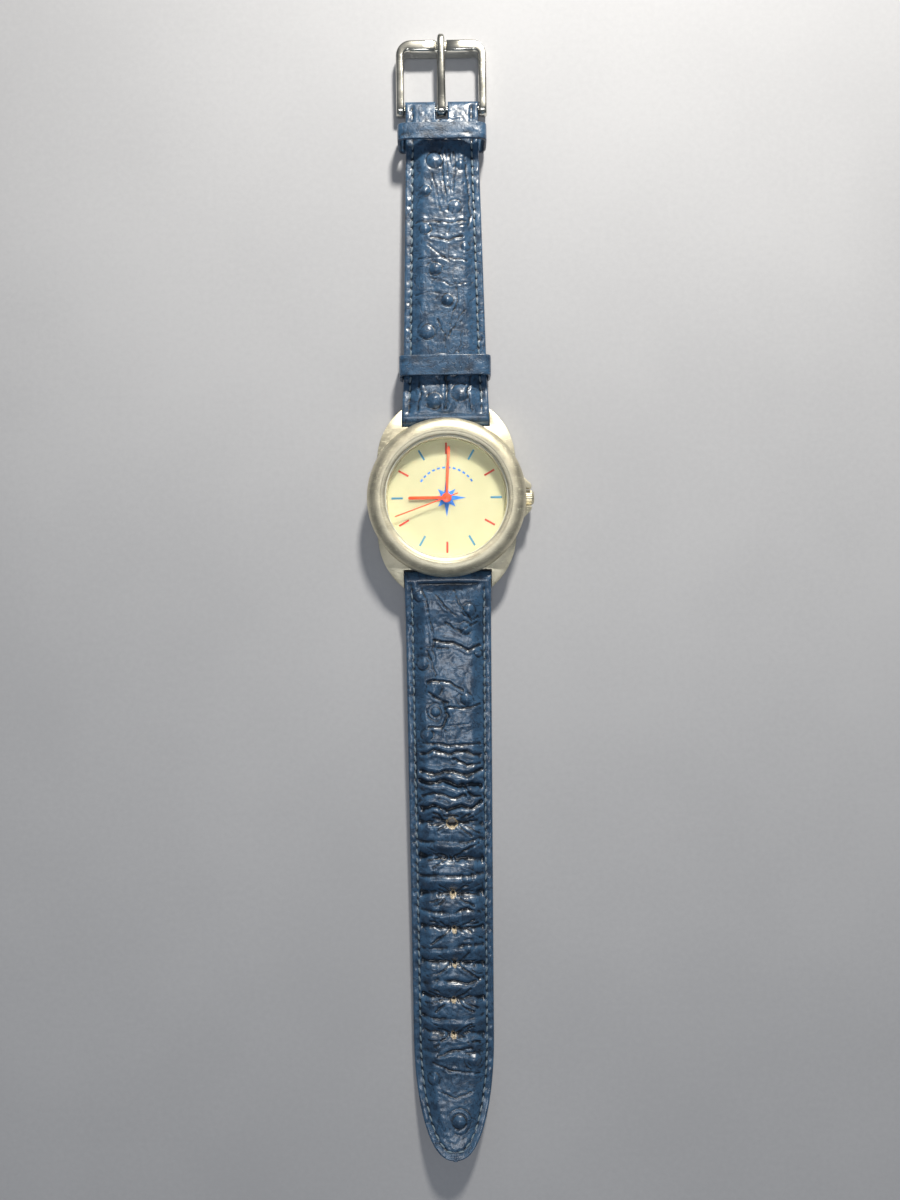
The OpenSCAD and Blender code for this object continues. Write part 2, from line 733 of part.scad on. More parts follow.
// Distances s run along each strap from its spring bar. Heights are above the case back.
lift = 1.1;                             // upper strap over the keepers' bottom bands
lining_t = 0.6;
skin_t = 0.7;
crown_rise = 0.7;                       // padded middle above the edge bands
fold_r = 1.5;                           // fold round the buckle bar
fold_z = fold_r + 0.2;                  // height of the buckle bar
fold_start = upper_len - 5;             // where the upper strap begins to drop to its fold
flat_start = 7;                         // where the upper strap levels out behind the loop
strap_low = 0.05;                       // lower strap's underside where it lies flat
curl_start = lower_len - 21.7;          // where the tail begins to curl up
curl_r = 52;
tip_start = lower_len - 24.7;           // where the tail begins to narrow
tail_half_w = strap_lug_w / 2 - 0.5;
padding_inset = stitch_inset + 0.5;

function upper_half_w(s) = lookup(s, [[0, strap_lug_w / 2], [2, strap_lug_w / 2],
    [8, strap_lug_w / 2 - 0.28], [fold_start - 4, strap_buckle_w / 2 + 0.05],
    [upper_len, strap_buckle_w / 2]]);
function upper_bottom(s) = lookup(s, [[0, bar_z - loop_r], [flat_start, lift], [fold_start, lift],
    [upper_len, fold_z - fold_r]]);
function upper_edge(s) = lookup(s, [[0, bar_z + loop_r], [2.5, bar_z + loop_r - 0.35],
    [flat_start, lift + 3.1], [fold_start, lift + 2.5], [upper_len, fold_z + fold_r]]);
function upper_middle(s) = s > fold_start ? upper_edge(s) + 0.001
    : upper_edge(s) + crown_rise * min(1, (fold_start - s) / 3) * min(1, s / 4 + 0.01);

function tip_t(s) = max(0, min(0.9995, (s - tip_start) / (lower_len - tip_start)));
function lower_half_w(s) = (strap_lug_w / 2 + (tail_half_w - strap_lug_w / 2) * min(1, s / tip_start))
    * pow(1 - pow(tip_t(s), 2.2), 1 / 2.4);
function curl(s) = s < curl_start ? 0 : curl_r - sqrt(curl_r * curl_r - (s - curl_start) * (s - curl_start));
function lower_bottom(s) = curl(s) + lookup(s, [[0, bar_z - loop_r], [5, 0.8], [12, strap_low],
    [lower_len, strap_low]]);
function lower_edge(s) = lookup(s, [[0, bar_z + loop_r], [3, bar_z + loop_r - 0.6], [9, 3.5], [43, 2.8],
    [73, 2.1], [98, 1.75], [lower_len, 1.6]]) + curl(s);
function lower_middle(s) = lower_edge(s)
    + crown_rise * min(1, s / 4 + 0.01) * min(1, max(0.05, (lower_len - s) / 12));

upper_stops = concat([for (s = [0 : 1 : 8]) s], [for (s = [12 : 8 : fold_start - 4]) s],
    [fold_start - 3, fold_start, upper_len]);
lower_stops = concat([for (s = [0 : 1.5 : 12]) s], [for (s = [20 : 8 : curl_start - 4]) s],
    [for (i = [0 : 12]) curl_start + (lower_len - curl_start) * i / 12]);
tip_stops = concat([0, tip_start],
    [for (i = [1 : 20]) tip_start + (lower_len - tip_start) * sin(90 * i / 20)]);

// A slab seen from the side: stops along the strap, with a top and a bottom height at each
module side_slab(tops, bottoms, half_w) {
    count = len(bottoms);
    translate([-half_w, 0, 0]) rotate([90, 0, 90]) linear_extrude(2 * half_w)
        polygon(concat(bottoms, [for (i = [count - 1 : -1 : 0]) tops[i]]));
}
// The same strap seen from above, from its half-widths
module plan_slab(halves) {
    count = len(halves);
    linear_extrude(20) polygon(concat([for (h = halves) [h[1], h[0]]],
        [for (i = [count - 1 : -1 : 0]) [-halves[i][1], halves[i][0]]]));
}
module upper_slab(top_drop, bottom_rise, inset, padded) {
    intersection() {
        side_slab([for (s = upper_stops) [s, (padded ? upper_middle(s) : upper_edge(s)) - top_drop]],
            [for (s = upper_stops) [s, upper_bottom(s) + bottom_rise]], strap_lug_w);
        plan_slab([for (s = upper_stops) [s, upper_half_w(s) - inset]]);
    }
}
module lower_slab(top_drop, bottom_rise, inset, padded) {
    intersection() {
        side_slab([for (s = lower_stops) [s, (padded ? lower_middle(s) : lower_edge(s)) - top_drop]],
            [for (s = lower_stops) [s, lower_bottom(s) + bottom_rise]], strap_lug_w);
        plan_slab([for (s = tip_stops) [s, max(0.05, lower_half_w(s) - inset)]]);
    }
}
module between(s0, s1) {
    translate([-20, s0, -5]) cube([40, s1 - s0, 30]);
}

module upper_at() translate([0, bar_y, 0]) children();
module lower_at() translate([0, -bar_y, 0]) rotate([0, 0, 180]) children();

padding_start = 3.5;
padding_sink = 0.1;                     // the padding's pocket reaches this far into the lining's room
upper_padding_end = fold_start - 1;
upper_lining_end = fold_start - 0.5;
tongue_slot_w = 2.6;
tongue_slot_len = 4;
module upper_padding_shape(sink = 0) {
    intersection() {
        upper_slab(skin_t, lining_t - sink, padding_inset, true);
        between(padding_start, upper_padding_end);
    }
}
module upper_strap_leather() {
    color(navy) upper_at() difference() {
        union() {
            upper_slab(0, lining_t, 0, false);
            intersection() {
                upper_slab(0, lining_t, stitch_inset + 0.35, true);
                between(1, fold_start);
            }
            intersection() {
                upper_slab(1, 0, 0, false);
                union() {
                    between(0, padding_start);
                    between(upper_lining_end, upper_len);
                }
            }
            translate([0, 0, bar_z]) rod_x(loop_r, -strap_lug_w / 2, strap_lug_w / 2);
            translate([0, upper_len, fold_z]) rod_x(fold_r, -strap_buckle_w / 2, strap_buckle_w / 2);
        }
        upper_padding_shape(padding_sink);
        translate([0, 0, bar_z]) rod_x(bar_r + run, -20, 20);
        translate([0, upper_len, fold_z]) rod_x(buckle_bar_r, -20, 20);
        translate([-tongue_slot_w / 2, upper_len - tongue_slot_len + fold_r, -1])
            cube([tongue_slot_w, tongue_slot_len + 1, 10]);
    }
}
module upper_strap_lining() {
    color([0.45, 0.33, 0.22]) upper_at() intersection() {
        difference() {
            upper_slab(0, 0, 0, false);
            upper_slab(-5, lining_t, -1, false);
        }
        between(padding_start, upper_lining_end);
    }
}
module upper_strap_padding() {
    color([0.6, 0.55, 0.45]) upper_at() upper_padding_shape();
}

thread_w = 0.32;
thread_len = stitch_pitch * 0.68;
thread_rise = 0.14;
thread_sink = 0.1;
// One stitch lying along the direction from a to b, each [x, s, z]
module stitch(a, b) {
    middle = (a + b) / 2;
    turn = atan2(b[1] - a[1], b[0] - a[0]);
    tilt = atan2(b[2] - a[2], norm([b[0] - a[0], b[1] - a[1]]));
    translate(middle) rotate([0, -tilt, turn])
        translate([-thread_len / 2, -thread_w / 2, -thread_sink])
            cube([thread_len, thread_w, thread_rise + thread_sink]);
}
module stitch_row(points) {
    for (i = [0 : len(points) - 2]) stitch(points[i], points[i + 1]);
}
upper_stitch_end = fold_start - 6.5;
function upper_seam(s) = [upper_half_w(s) - stitch_inset + 0.15, s, upper_edge(s)];
module upper_strap_stitching() {
    color(thread_colour) upper_at() both_sides()
        stitch_row([for (s = [padding_start + 0.6 : stitch_pitch : upper_stitch_end]) upper_seam(s)]);
}

// The tail's seam follows the edge and then the rounded tip
seam_tip = lower_len - stitch_inset;
seam_bend = tip_start + 4;
function seam_half_w(s) =
    lower_half_w(tip_start + (s - tip_start) * (lower_len - tip_start) / (seam_tip - tip_start))
    - (stitch_inset - 0.15) * (1 - max(0, (s - seam_bend) / (seam_tip - seam_bend)));
function lower_seam(s) = [s < tip_start ? lower_half_w(s) - stitch_inset + 0.15 : max(0, seam_half_w(s)),
    s, lower_edge(s)];
tip_seam_steps = 14;
tip_seam = [for (i = [0 : tip_seam_steps])
    lower_seam(tip_start + (seam_tip - tip_start) * sin(90 * i / tip_seam_steps))];
module lower_strap_stitching() {
    color(thread_colour) lower_at() both_sides() {
        stitch_row([for (s = [padding_start + 0.6 : stitch_pitch : tip_start]) lower_seam(s)]);
        stitch_row(tip_seam);
    }
}

lower_padding_end = lower_len - 9;
module lower_padding_shape(sink = 0) {
    intersection() {
        lower_slab(skin_t, lining_t - sink, padding_inset, true);
        between(padding_start, lower_padding_end);
    }
}
module tongue_holes() {
    for (i = [0 : hole_count - 1]) {
        translate([0, first_hole + i * hole_pitch, -1]) cylinder(r = i == 0 ? hole_r + 0.2 : hole_r, h = 12);
    }
}
module lower_strap_leather() {
    color(navy) lower_at() difference() {
        union() {
            lower_slab(0, lining_t, 0, false);
            intersection() {
                lower_slab(0, lining_t, stitch_inset + 0.35, true);
                between(1, lower_len - 3);
            }
            intersection() {
                lower_slab(1, 0, 0, false);
                between(0, padding_start);
            }
            translate([0, 0, bar_z]) rod_x(loop_r, -strap_lug_w / 2, strap_lug_w / 2);
        }
        lower_padding_shape(padding_sink);
        tongue_holes();
        translate([0, 0, bar_z]) rod_x(bar_r + run, -20, 20);
    }
}
module lower_strap_lining() {
    color([0.45, 0.33, 0.22]) lower_at() difference() {
        intersection() {
            lower_slab(0, 0, 0, false);
            between(padding_start, lower_len + 1);
        }
        lower_slab(-5, lining_t, -1, false);
        tongue_holes();
    }
}
module lower_strap_padding() {
    color([0.6, 0.55, 0.45]) lower_at() difference() {
        lower_padding_shape();
        tongue_holes();
    }
}

// ---- Keepers and buckle ------------------------------------------------------

keeper_floor_t = 0.9;
keeper_roof_t = 0.8;
keeper_len = 4.2;
fixed_keeper_len = 3.4;
keeper_slack = 0.1;                     // strap to the free keeper's sides
fixed_keeper_half = strap_buckle_w / 2 + 1.65;
free_keeper_half = upper_half_w(free_keeper_at - keeper_len / 2) + keeper_slack + keeper_t;

module rounded_box(half_w, z0, z1, corner) {
    hull() for (x = [-1, 1], z = [z0 + corner, z1 - corner]) {
        translate([x * (half_w - corner), z]) circle(r = corner, $fn = 32);
    }
}
module keeper(half_w, floor_z, length) {
    rotate([90, 0, 0]) linear_extrude(length, center = true) difference() {
        rounded_box(half_w, floor_z, keeper_h, 1.3);
        rounded_box(half_w - keeper_t, floor_z + keeper_floor_t, keeper_h - keeper_roof_t, 0.2);
    }
}
module fixed_keeper() {
    color(navy) upper_at() translate([0, fold_start - fixed_keeper_len / 2 - loose, 0])
        keeper(fixed_keeper_half, lift - keeper_floor_t, fixed_keeper_len);
}
module free_keeper() {
    color(navy) upper_at() translate([0, free_keeper_at, 0]) keeper(free_keeper_half, strap_low, keeper_len);
}

buckle_bar_r = 0.7;
buckle_half = strap_buckle_w / 2 + buckle_gap + arm_w;
bar_depth = 2.5;                        // far bar, along the strap
bar_top = 3.4;
tongue_w = 1.8;
tongue_t = 1.1;
notch_depth = 0.55;
eye_r = 1.35;
module at_buckle() translate([0, bar_y + upper_len, 0]) children();

module buckle_bar() {
    color(steel) at_buckle() translate([0, 0, fold_z])
        rod_x(buckle_bar_r, -buckle_half + 0.35, buckle_half - 0.35);
}
module buckle_frame() {
    corner = 3.2;
    inner = buckle_half - arm_w;
    side = concat(
        arc([0, fold_z], eye_r, 90, 270, 16),
        [[3, 0.55], [buckle_reach - bar_depth, 0.2], [buckle_reach - 0.6, 0.1]],
        arc([buckle_reach - 0.6, 0.7], 0.6, -90, 0, 4),
        arc([buckle_reach - 1.6, bar_top - 1.6], 1.6, 0, 90, 10),
        [[buckle_reach - bar_depth, bar_top], [4, bar_top - 0.2], [2, bar_top - 0.35]]);
    color(steel) at_buckle() difference() {
        intersection() {
            translate([-buckle_half, 0, 0]) rotate([90, 0, 90]) linear_extrude(2 * buckle_half) polygon(side);
            linear_extrude(10) difference() {
                polygon(concat([[-buckle_half, -3], [buckle_half, -3]],
                    arc([buckle_half - corner, buckle_reach - corner], corner, 0, 90, 12),
                    arc([corner - buckle_half, buckle_reach - corner], corner, 90, 180, 12)));
                translate([-inner, -4]) square([2 * inner, buckle_reach + 4 - bar_depth]);
            }
        }
        translate([0, 0, fold_z]) rod_x(buckle_bar_r + run, -buckle_half + 0.3, buckle_half - 0.3);
        translate([-tongue_w / 2 - 0.25, 5, bar_top - notch_depth]) cube([tongue_w + 0.5, 20, 3]);
    }
}
module buckle_tongue() {
    rest_z = bar_top - notch_depth + 0.03;   // underside of the tongue over the far bar
    side = concat(
        arc([0, fold_z], eye_r, 95, 275, 16),
        [[0.9, fold_z - 0.95], [2.6, fold_z - 0.1], [buckle_reach - bar_depth - 1, rest_z],
         [buckle_reach, rest_z], [buckle_reach + 0.75, rest_z - 0.3]],
        arc([buckle_reach + 0.35, rest_z + 0.35], 0.65, -30, 90, 8),
        [[buckle_reach - bar_depth - 1, rest_z + tongue_t], [2.8, fold_z + tongue_t - 0.1],
         [1, fold_z + eye_r - 0.15]]);
    color(steel) at_buckle() difference() {
        translate([-tongue_w / 2, 0, 0]) rotate([90, 0, 90]) linear_extrude(tongue_w) polygon(side);
        translate([0, 0, fold_z]) rod_x(buckle_bar_r + run, -5, 5);
    }
}

case_middle();
bezel();
crystal();
crystal_gasket();
case_back();
case_back_gasket();
stem_tube();
crown();
crown_gasket();
winding_stem();
sliding_pinion();
setting_lever();
setting_wheel();
upper_spring_bar();
lower_spring_bar();
movement_holder();
main_plate();
train_bridge();
bridge_screws();
circuit_board();
quartz_can();
coil();
stator();
battery();
battery_clamp();
rotor();
fifth_wheel();
fourth_wheel();
third_wheel();
centre_wheel();
cannon_pinion();
minute_wheel();
hour_wheel();
dial();
red_hour_marks();
blue_hour_marks();
dial_motif();
hour_hand();
minute_hand();
second_hand();
upper_strap_leather();
upper_strap_lining();
upper_strap_padding();
upper_strap_stitching();
fixed_keeper();
free_keeper();
buckle_bar();
buckle_frame();
buckle_tongue();
lower_strap_leather();
lower_strap_lining();
lower_strap_padding();
lower_strap_stitching();
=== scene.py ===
import json
import math
import bpy
import bmesh
import numpy as np
from mathutils import Matrix, Vector

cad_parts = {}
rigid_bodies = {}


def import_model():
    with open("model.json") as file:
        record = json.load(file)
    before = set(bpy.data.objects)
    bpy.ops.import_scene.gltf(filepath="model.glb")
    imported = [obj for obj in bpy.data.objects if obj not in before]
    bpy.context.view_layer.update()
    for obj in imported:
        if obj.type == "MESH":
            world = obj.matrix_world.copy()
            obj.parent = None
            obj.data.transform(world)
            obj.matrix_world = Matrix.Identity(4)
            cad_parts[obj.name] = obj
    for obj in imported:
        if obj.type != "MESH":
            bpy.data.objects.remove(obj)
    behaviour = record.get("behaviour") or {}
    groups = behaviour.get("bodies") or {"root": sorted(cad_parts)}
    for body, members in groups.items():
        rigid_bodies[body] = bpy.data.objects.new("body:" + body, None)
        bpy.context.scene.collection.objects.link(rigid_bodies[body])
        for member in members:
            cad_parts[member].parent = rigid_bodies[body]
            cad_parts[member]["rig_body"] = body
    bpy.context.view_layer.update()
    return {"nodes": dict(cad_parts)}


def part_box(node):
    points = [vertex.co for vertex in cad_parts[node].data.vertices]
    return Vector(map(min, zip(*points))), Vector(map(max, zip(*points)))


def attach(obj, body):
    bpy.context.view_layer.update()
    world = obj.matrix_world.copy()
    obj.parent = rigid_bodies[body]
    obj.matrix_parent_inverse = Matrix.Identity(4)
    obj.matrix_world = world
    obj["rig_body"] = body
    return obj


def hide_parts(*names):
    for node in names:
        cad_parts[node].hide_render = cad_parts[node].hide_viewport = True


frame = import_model()
nodes = frame["nodes"]
mm = 0.001
random = np.random.default_rng(7)


def centreOf(node):
    low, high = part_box(node)
    return (low + high) / 2 / mm


def sizeOf(node):
    low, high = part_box(node)
    return (high - low) / mm


# Shader groups that several materials share

def newGroup(name, inputs, outputs):
    group = bpy.data.node_groups.new(name, "ShaderNodeTree")
    for label, kind, value in inputs:
        socket = group.interface.new_socket(label, in_out="INPUT", socket_type=kind)
        if value is not None:
            socket.default_value = value
    for label, kind in outputs:
        group.interface.new_socket(label, in_out="OUTPUT", socket_type=kind)
    start = group.nodes.new("NodeGroupInput")
    end = group.nodes.new("NodeGroupOutput")
    return group, start.outputs, end.inputs


def mathNode(tree, how, a, b=None):
    node = tree.nodes.new("ShaderNodeMath")
    node.operation = how
    for socket, value in zip(node.inputs, (a, b)):
        if value is None:
            continue
        if isinstance(value, (int, float)):
            socket.default_value = value
        else:
            tree.links.new(value, socket)
    return node.outputs[0]


def rampNode(tree, value, low, high):
    node = tree.nodes.new("ShaderNodeMapRange")
    node.interpolation_type = "SMOOTHSTEP"
    node.inputs["From Min"].default_value = low
    node.inputs["From Max"].default_value = high
    tree.links.new(value, node.inputs["Value"])
    return node.outputs["Result"]


def noiseNode(tree, vector, scale, detail=3, rough=0.55, distortion=0.0):
    node = tree.nodes.new("ShaderNodeTexNoise")
    node.inputs["Detail"].default_value = detail
    node.inputs["Roughness"].default_value = rough
    node.inputs["Distortion"].default_value = distortion
    if isinstance(scale, (int, float)):
        node.inputs["Scale"].default_value = scale
    else:
        tree.links.new(scale, node.inputs["Scale"])
    tree.links.new(vector, node.inputs["Vector"])
    return node.outputs["Fac"]


def stretched(tree, vector, scale=(1, 1, 1), turn=0.0):
    node = tree.nodes.new("ShaderNodeMapping")
    node.inputs["Scale"].default_value = scale
    node.inputs["Rotation"].default_value = (0, 0, math.radians(turn))
    tree.links.new(vector, node.inputs["Vector"])
    return node.outputs["Vector"]


def thinLines(tree, vector, scale, width, distortion=0.6):
    # thin meandering lines, where a soft noise crosses its middle value
    soft = noiseNode(tree, vector, scale, detail=2, rough=0.5, distortion=distortion)
    away = mathNode(tree, "ABSOLUTE", mathNode(tree, "SUBTRACT", soft, 0.5))
    return mathNode(tree, "SUBTRACT", 1.0, rampNode(tree, away, 0.0, width))


def makeHideGroup():
    # pores and a web of fine creases that run both across and along, for grained leather
    group, src, dst = newGroup("hideGrain",
        [("Vector", "NodeSocketVector", None), ("Pores", "NodeSocketFloat", 3.2),
         ("Creases", "NodeSocketFloat", 0.8)],
        [("Height", "NodeSocketFloat"), ("Tone", "NodeSocketFloat")])
    across = thinLines(group, stretched(group, src["Vector"], (0.45, 1.25, 1), 8), src["Creases"], 0.030)
    along = thinLines(group, stretched(group, src["Vector"], (1.15, 0.42, 1), -10), src["Creases"], 0.026)
    patch = rampNode(group, noiseNode(group, src["Vector"], 0.16, detail=1), 0.42, 0.58)
    lines = mathNode(group, "MAXIMUM", mathNode(group, "MULTIPLY", across, patch),
                     mathNode(group, "MULTIPLY", along, mathNode(group, "SUBTRACT", 1.0, patch)))
    pores = noiseNode(group, src["Vector"], src["Pores"], detail=4, rough=0.62)
    rolls = noiseNode(group, src["Vector"], 0.9, detail=3, rough=0.6, distortion=0.8)
    small, large = mathNode(group, "MULTIPLY", pores, 0.42), mathNode(group, "MULTIPLY", rolls, 0.9)
    total = mathNode(group, "ADD", small, large)
    total = mathNode(group, "SUBTRACT", total, mathNode(group, "MULTIPLY", lines, 0.34))
    group.links.new(total, dst["Height"])
    tone = noiseNode(group, src["Vector"], 0.35, detail=4)
    # the crease lines also lower the Tone: painted shade in the creases
    group.links.new(mathNode(group, "SUBTRACT", tone, mathNode(group, "MULTIPLY", lines, 0.25)),
                    dst["Tone"])
    return group


def makeScratchGroup():
    # hairline scratches lying in three directions, over a fine blasted grain
    group, src, dst = newGroup("metalWear",
        [("Vector", "NodeSocketVector", None), ("Length", "NodeSocketFloat", 400.0),
         ("Grain", "NodeSocketFloat", 9000.0)],
        [("Mask", "NodeSocketFloat"), ("Height", "NodeSocketFloat"), ("Smudge", "NodeSocketFloat")])
    lines = None
    for turn in (18, 74, 131):
        vector = stretched(group, src["Vector"], (1, 14, 1), turn)
        line = rampNode(group, noiseNode(group, vector, src["Length"], detail=2, rough=0.7), 0.64, 0.69)
        lines = line if lines is None else mathNode(group, "MAXIMUM", lines, line)
    grain = noiseNode(group, src["Vector"], src["Grain"], detail=2, rough=0.7)
    group.links.new(lines, dst["Mask"])
    group.links.new(mathNode(group, "SUBTRACT", grain, mathNode(group, "MULTIPLY", lines, 0.8)),
                    dst["Height"])
    group.links.new(noiseNode(group, src["Vector"], 260, detail=3), dst["Smudge"])
    return group


def makeMottleGroup():
    # slow colour change plus a fine speck, for paint, plastic and card
    group, src, dst = newGroup("mottle",
        [("Vector", "NodeSocketVector", None), ("Broad", "NodeSocketFloat", 180.0),
         ("Fine", "NodeSocketFloat", 5000.0)],
        [("Tone", "NodeSocketFloat"), ("Height", "NodeSocketFloat")])
    broad = noiseNode(group, src["Vector"], src["Broad"], detail=3)
    fine = noiseNode(group, src["Vector"], src["Fine"], detail=3, rough=0.65)
    slow, quick = mathNode(group, "MULTIPLY", broad, 0.65), mathNode(group, "MULTIPLY", fine, 0.35)
    tone = mathNode(group, "ADD", slow, quick)
    group.links.new(tone, dst["Tone"])
    group.links.new(fine, dst["Height"])
    return group


hideGrain = makeHideGroup()
metalWear = makeScratchGroup()
mottle = makeMottleGroup()


# A material and the nodes that its finish is made of

class Finish:
    def __init__(self, name, roughness=0.5, metallic=0.0, coat=0.0, coatRough=0.2):
        self.mat = bpy.data.materials.new(name)
        self.mat.use_nodes = True
        self.tree = self.mat.node_tree
        self.bsdf = self.tree.nodes["Principled BSDF"]
        self.bsdf.inputs["Roughness"].default_value = roughness
        self.bsdf.inputs["Metallic"].default_value = metallic
        self.bsdf.inputs["Coat Weight"].default_value = coat
        self.bsdf.inputs["Coat Roughness"].default_value = coatRough
        self.coords = self.tree.nodes.new("ShaderNodeTexCoord")

    def place(self, group, vector=None, **values):
        node = self.tree.nodes.new("ShaderNodeGroup")
        node.node_tree = group
        self.tree.links.new(vector or self.coords.outputs["Object"], node.inputs["Vector"])
        for key, value in values.items():
            node.inputs[key].default_value = value
        return node.outputs

    def mixColours(self, factor, a, b):
        node = self.tree.nodes.new("ShaderNodeMix")
        node.data_type = "RGBA"
        self.tree.links.new(factor, node.inputs["Factor"])
        for socket, colour in ((node.inputs["A"], a), (node.inputs["B"], b)):
            if isinstance(colour, tuple):
                socket.default_value = (*colour, 1)
            else:
                self.tree.links.new(colour, socket)
        return node.outputs["Result"]

    def paint(self, colour):
        self.tree.links.new(colour, self.bsdf.inputs["Base Color"])

    def rough(self, factor, low, high):
        node = self.tree.nodes.new("ShaderNodeMapRange")
        node.inputs["To Min"].default_value = low
        node.inputs["To Max"].default_value = high
        self.tree.links.new(factor, node.inputs["Value"])
        self.tree.links.new(node.outputs["Result"], self.bsdf.inputs["Roughness"])

    def bump(self, height, strength, distance):
        node = self.tree.nodes.new("ShaderNodeBump")
        node.inputs["Strength"].default_value = strength
        node.inputs["Distance"].default_value = distance
        self.tree.links.new(height, node.inputs["Height"])
        self.tree.links.new(node.outputs["Normal"], self.bsdf.inputs["Normal"])

    def attribute(self, name):
        node = self.tree.nodes.new("ShaderNodeAttribute")
        node.attribute_name = name
        return node.outputs


def paintedFinish(name, dark, light, roughness=0.45, coat=0.0, broad=180.0, fine=5000.0, bump=0.15):
    finish = Finish(name, roughness, coat=coat)
    out = finish.place(mottle, Broad=broad, Fine=fine)
    finish.paint(finish.mixColours(rampNode(finish.tree, out["Tone"], 0.3, 0.7), dark, light))
    finish.rough(out["Tone"], roughness - 0.08, roughness + 0.1)
    finish.bump(out["Height"], bump, 0.00002)
    return finish.mat


def metalFinish(name, dark, light, roughness, lengthScale=400.0, grain=9000.0, bump=0.25, spread=0.12):
    finish = Finish(name, roughness, metallic=1.0)
    out = finish.place(metalWear, Length=lengthScale, Grain=grain)
    tone = finish.mixColours(rampNode(finish.tree, out["Smudge"], 0.3, 0.7), dark, light)
    brighter = tuple(min(1.0, c * 1.25) for c in light)
    finish.paint(finish.mixColours(out["Mask"], tone, brighter))
    finish.rough(out["Smudge"], roughness - spread, roughness + spread)
    finish.bump(out["Height"], bump, 0.00003)
    return finish.mat


def leatherFinish(name, dark, light, roughness=0.4, coat=0.3, grainDepth=0.00013):
    finish = Finish(name, roughness, coat=coat, coatRough=0.25)
    tree = finish.tree
    grid = finish.attribute("planPlace")["Vector"]
    out = finish.place(hideGrain, vector=grid)
    tone = finish.mixColours(rampNode(tree, out["Tone"], 0.25, 0.62), dark, light)
    # painted shade: leather lying below its neighbours is mixed towards near black, as if in shadow
    deep = rampNode(tree, finish.attribute("paintedHollowShade")["Fac"], 0.0, 0.13)
    tone = finish.mixColours(mathNode(tree, "MULTIPLY", deep, 0.85), tone, (0.003, 0.006, 0.011))
    worn = finish.attribute("wear")["Fac"]
    speck = noiseNode(tree, grid, 2.6, detail=4, rough=0.75)
    ragged = mathNode(tree, "ADD", mathNode(tree, "MULTIPLY", speck, 1.5), 0.1)
    torn = rampNode(tree, mathNode(tree, "MULTIPLY", worn, ragged), 0.46, 0.54)
    fibre = noiseNode(tree, grid, 6.0, detail=2, rough=0.7)
    raw = finish.mixColours(rampNode(tree, fibre, 0.35, 0.6), (0.13, 0.09, 0.05), (0.85, 0.72, 0.50))
    finish.paint(finish.mixColours(torn, tone, raw))
    finish.rough(out["Tone"], roughness + 0.12, roughness - 0.08)
    finish.bump(out["Height"], 1.0, grainDepth)
    return finish.mat


def plainHide(name, dark, light, roughness=0.75):
    finish = Finish(name, roughness)
    vector = stretched(finish.tree, finish.coords.outputs["Object"], (1000, 1000, 1000))
    out = finish.place(hideGrain, vector=vector, Pores=4.0, Creases=1.3)
    finish.paint(finish.mixColours(rampNode(finish.tree, out["Tone"], 0.15, 0.65), dark, light))
    finish.bump(out["Height"], 0.6, 0.00008)
    return finish.mat


def threadFinish():
    finish = Finish("waxedThread", 0.55, coat=0.1)
    vector = stretched(finish.tree, finish.coords.outputs["Object"], (1, 1, 1), 35)
    wave = finish.tree.nodes.new("ShaderNodeTexWave")
    wave.inputs["Scale"].default_value = 2600
    wave.inputs["Distortion"].default_value = 1.5
    finish.tree.links.new(vector, wave.inputs["Vector"])
    out = finish.place(mottle, Broad=300.0, Fine=7000.0)
    ply = finish.mixColours(wave.outputs["Fac"], (0.10, 0.16, 0.22), (0.44, 0.53, 0.58))
    finish.paint(finish.mixColours(rampNode(finish.tree, out["Tone"], 0.35, 0.65), (0.18, 0.26, 0.32), ply))
    finish.bump(wave.outputs["Fac"], 0.5, 0.00004)
    return finish.mat


def glassFinish():
    # clear in shadow rays, so the dial beneath stays bright
    finish = Finish("watchGlass", 0.02)
    finish.bsdf.inputs["Transmission Weight"].default_value = 1.0
    finish.bsdf.inputs["IOR"].default_value = 1.2
    finish.bsdf.inputs["Base Color"].default_value = (0.98, 0.99, 0.98, 1)
    out = finish.place(metalWear, Length=300.0, Grain=4000.0)
    finish.rough(out["Mask"], 0.015, 0.09)
    path = finish.tree.nodes.new("ShaderNodeLightPath")
    clear = finish.tree.nodes.new("ShaderNodeBsdfTransparent")
    mix = finish.tree.nodes.new("ShaderNodeMixShader")
    finish.tree.links.new(path.outputs["Is Shadow Ray"], mix.inputs["Fac"])
    finish.tree.links.new(finish.bsdf.outputs["BSDF"], mix.inputs[1])
    finish.tree.links.new(clear.outputs["BSDF"], mix.inputs[2])
    finish.tree.links.new(mix.outputs["Shader"], finish.tree.nodes["Material Output"].inputs["Surface"])
    return finish.mat


navyLeather = leatherFinish("navyOstrich", (0.017, 0.047, 0.098), (0.047, 0.122, 0.232), roughness=0.38,
                            coat=0.75)
liningLeather = plainHide("brownLining", (0.10, 0.055, 0.028), (0.22, 0.135, 0.075))
blastedSteel = metalFinish("blastedSteel", (0.66, 0.61, 0.46), (0.84, 0.78, 0.60), 0.47, lengthScale=700.0,
                           bump=0.5)
polishedSteel = metalFinish("polishedSteel", (0.60, 0.59, 0.53), (0.80, 0.78, 0.70), 0.2, bump=0.08,
                            spread=0.07)
plainSteel = metalFinish("plainSteel", (0.50, 0.50, 0.50), (0.66, 0.66, 0.65), 0.3)
nickelPlate = metalFinish("nickelPlate", (0.58, 0.56, 0.50), (0.72, 0.70, 0.62), 0.34)
turnedBrass = metalFinish("turnedBrass", (0.58, 0.40, 0.14), (0.80, 0.60, 0.26), 0.3)
magnetSteel = metalFinish("magnetSteel", (0.14, 0.14, 0.15), (0.24, 0.24, 0.25), 0.5)
copperWire = metalFinish("copperWire", (0.50, 0.18, 0.07), (0.72, 0.30, 0.12), 0.35)
creamDial = paintedFinish("creamDial", (0.48, 0.46, 0.28), (0.53, 0.51, 0.32), 0.55, fine=9000.0, bump=0.08)
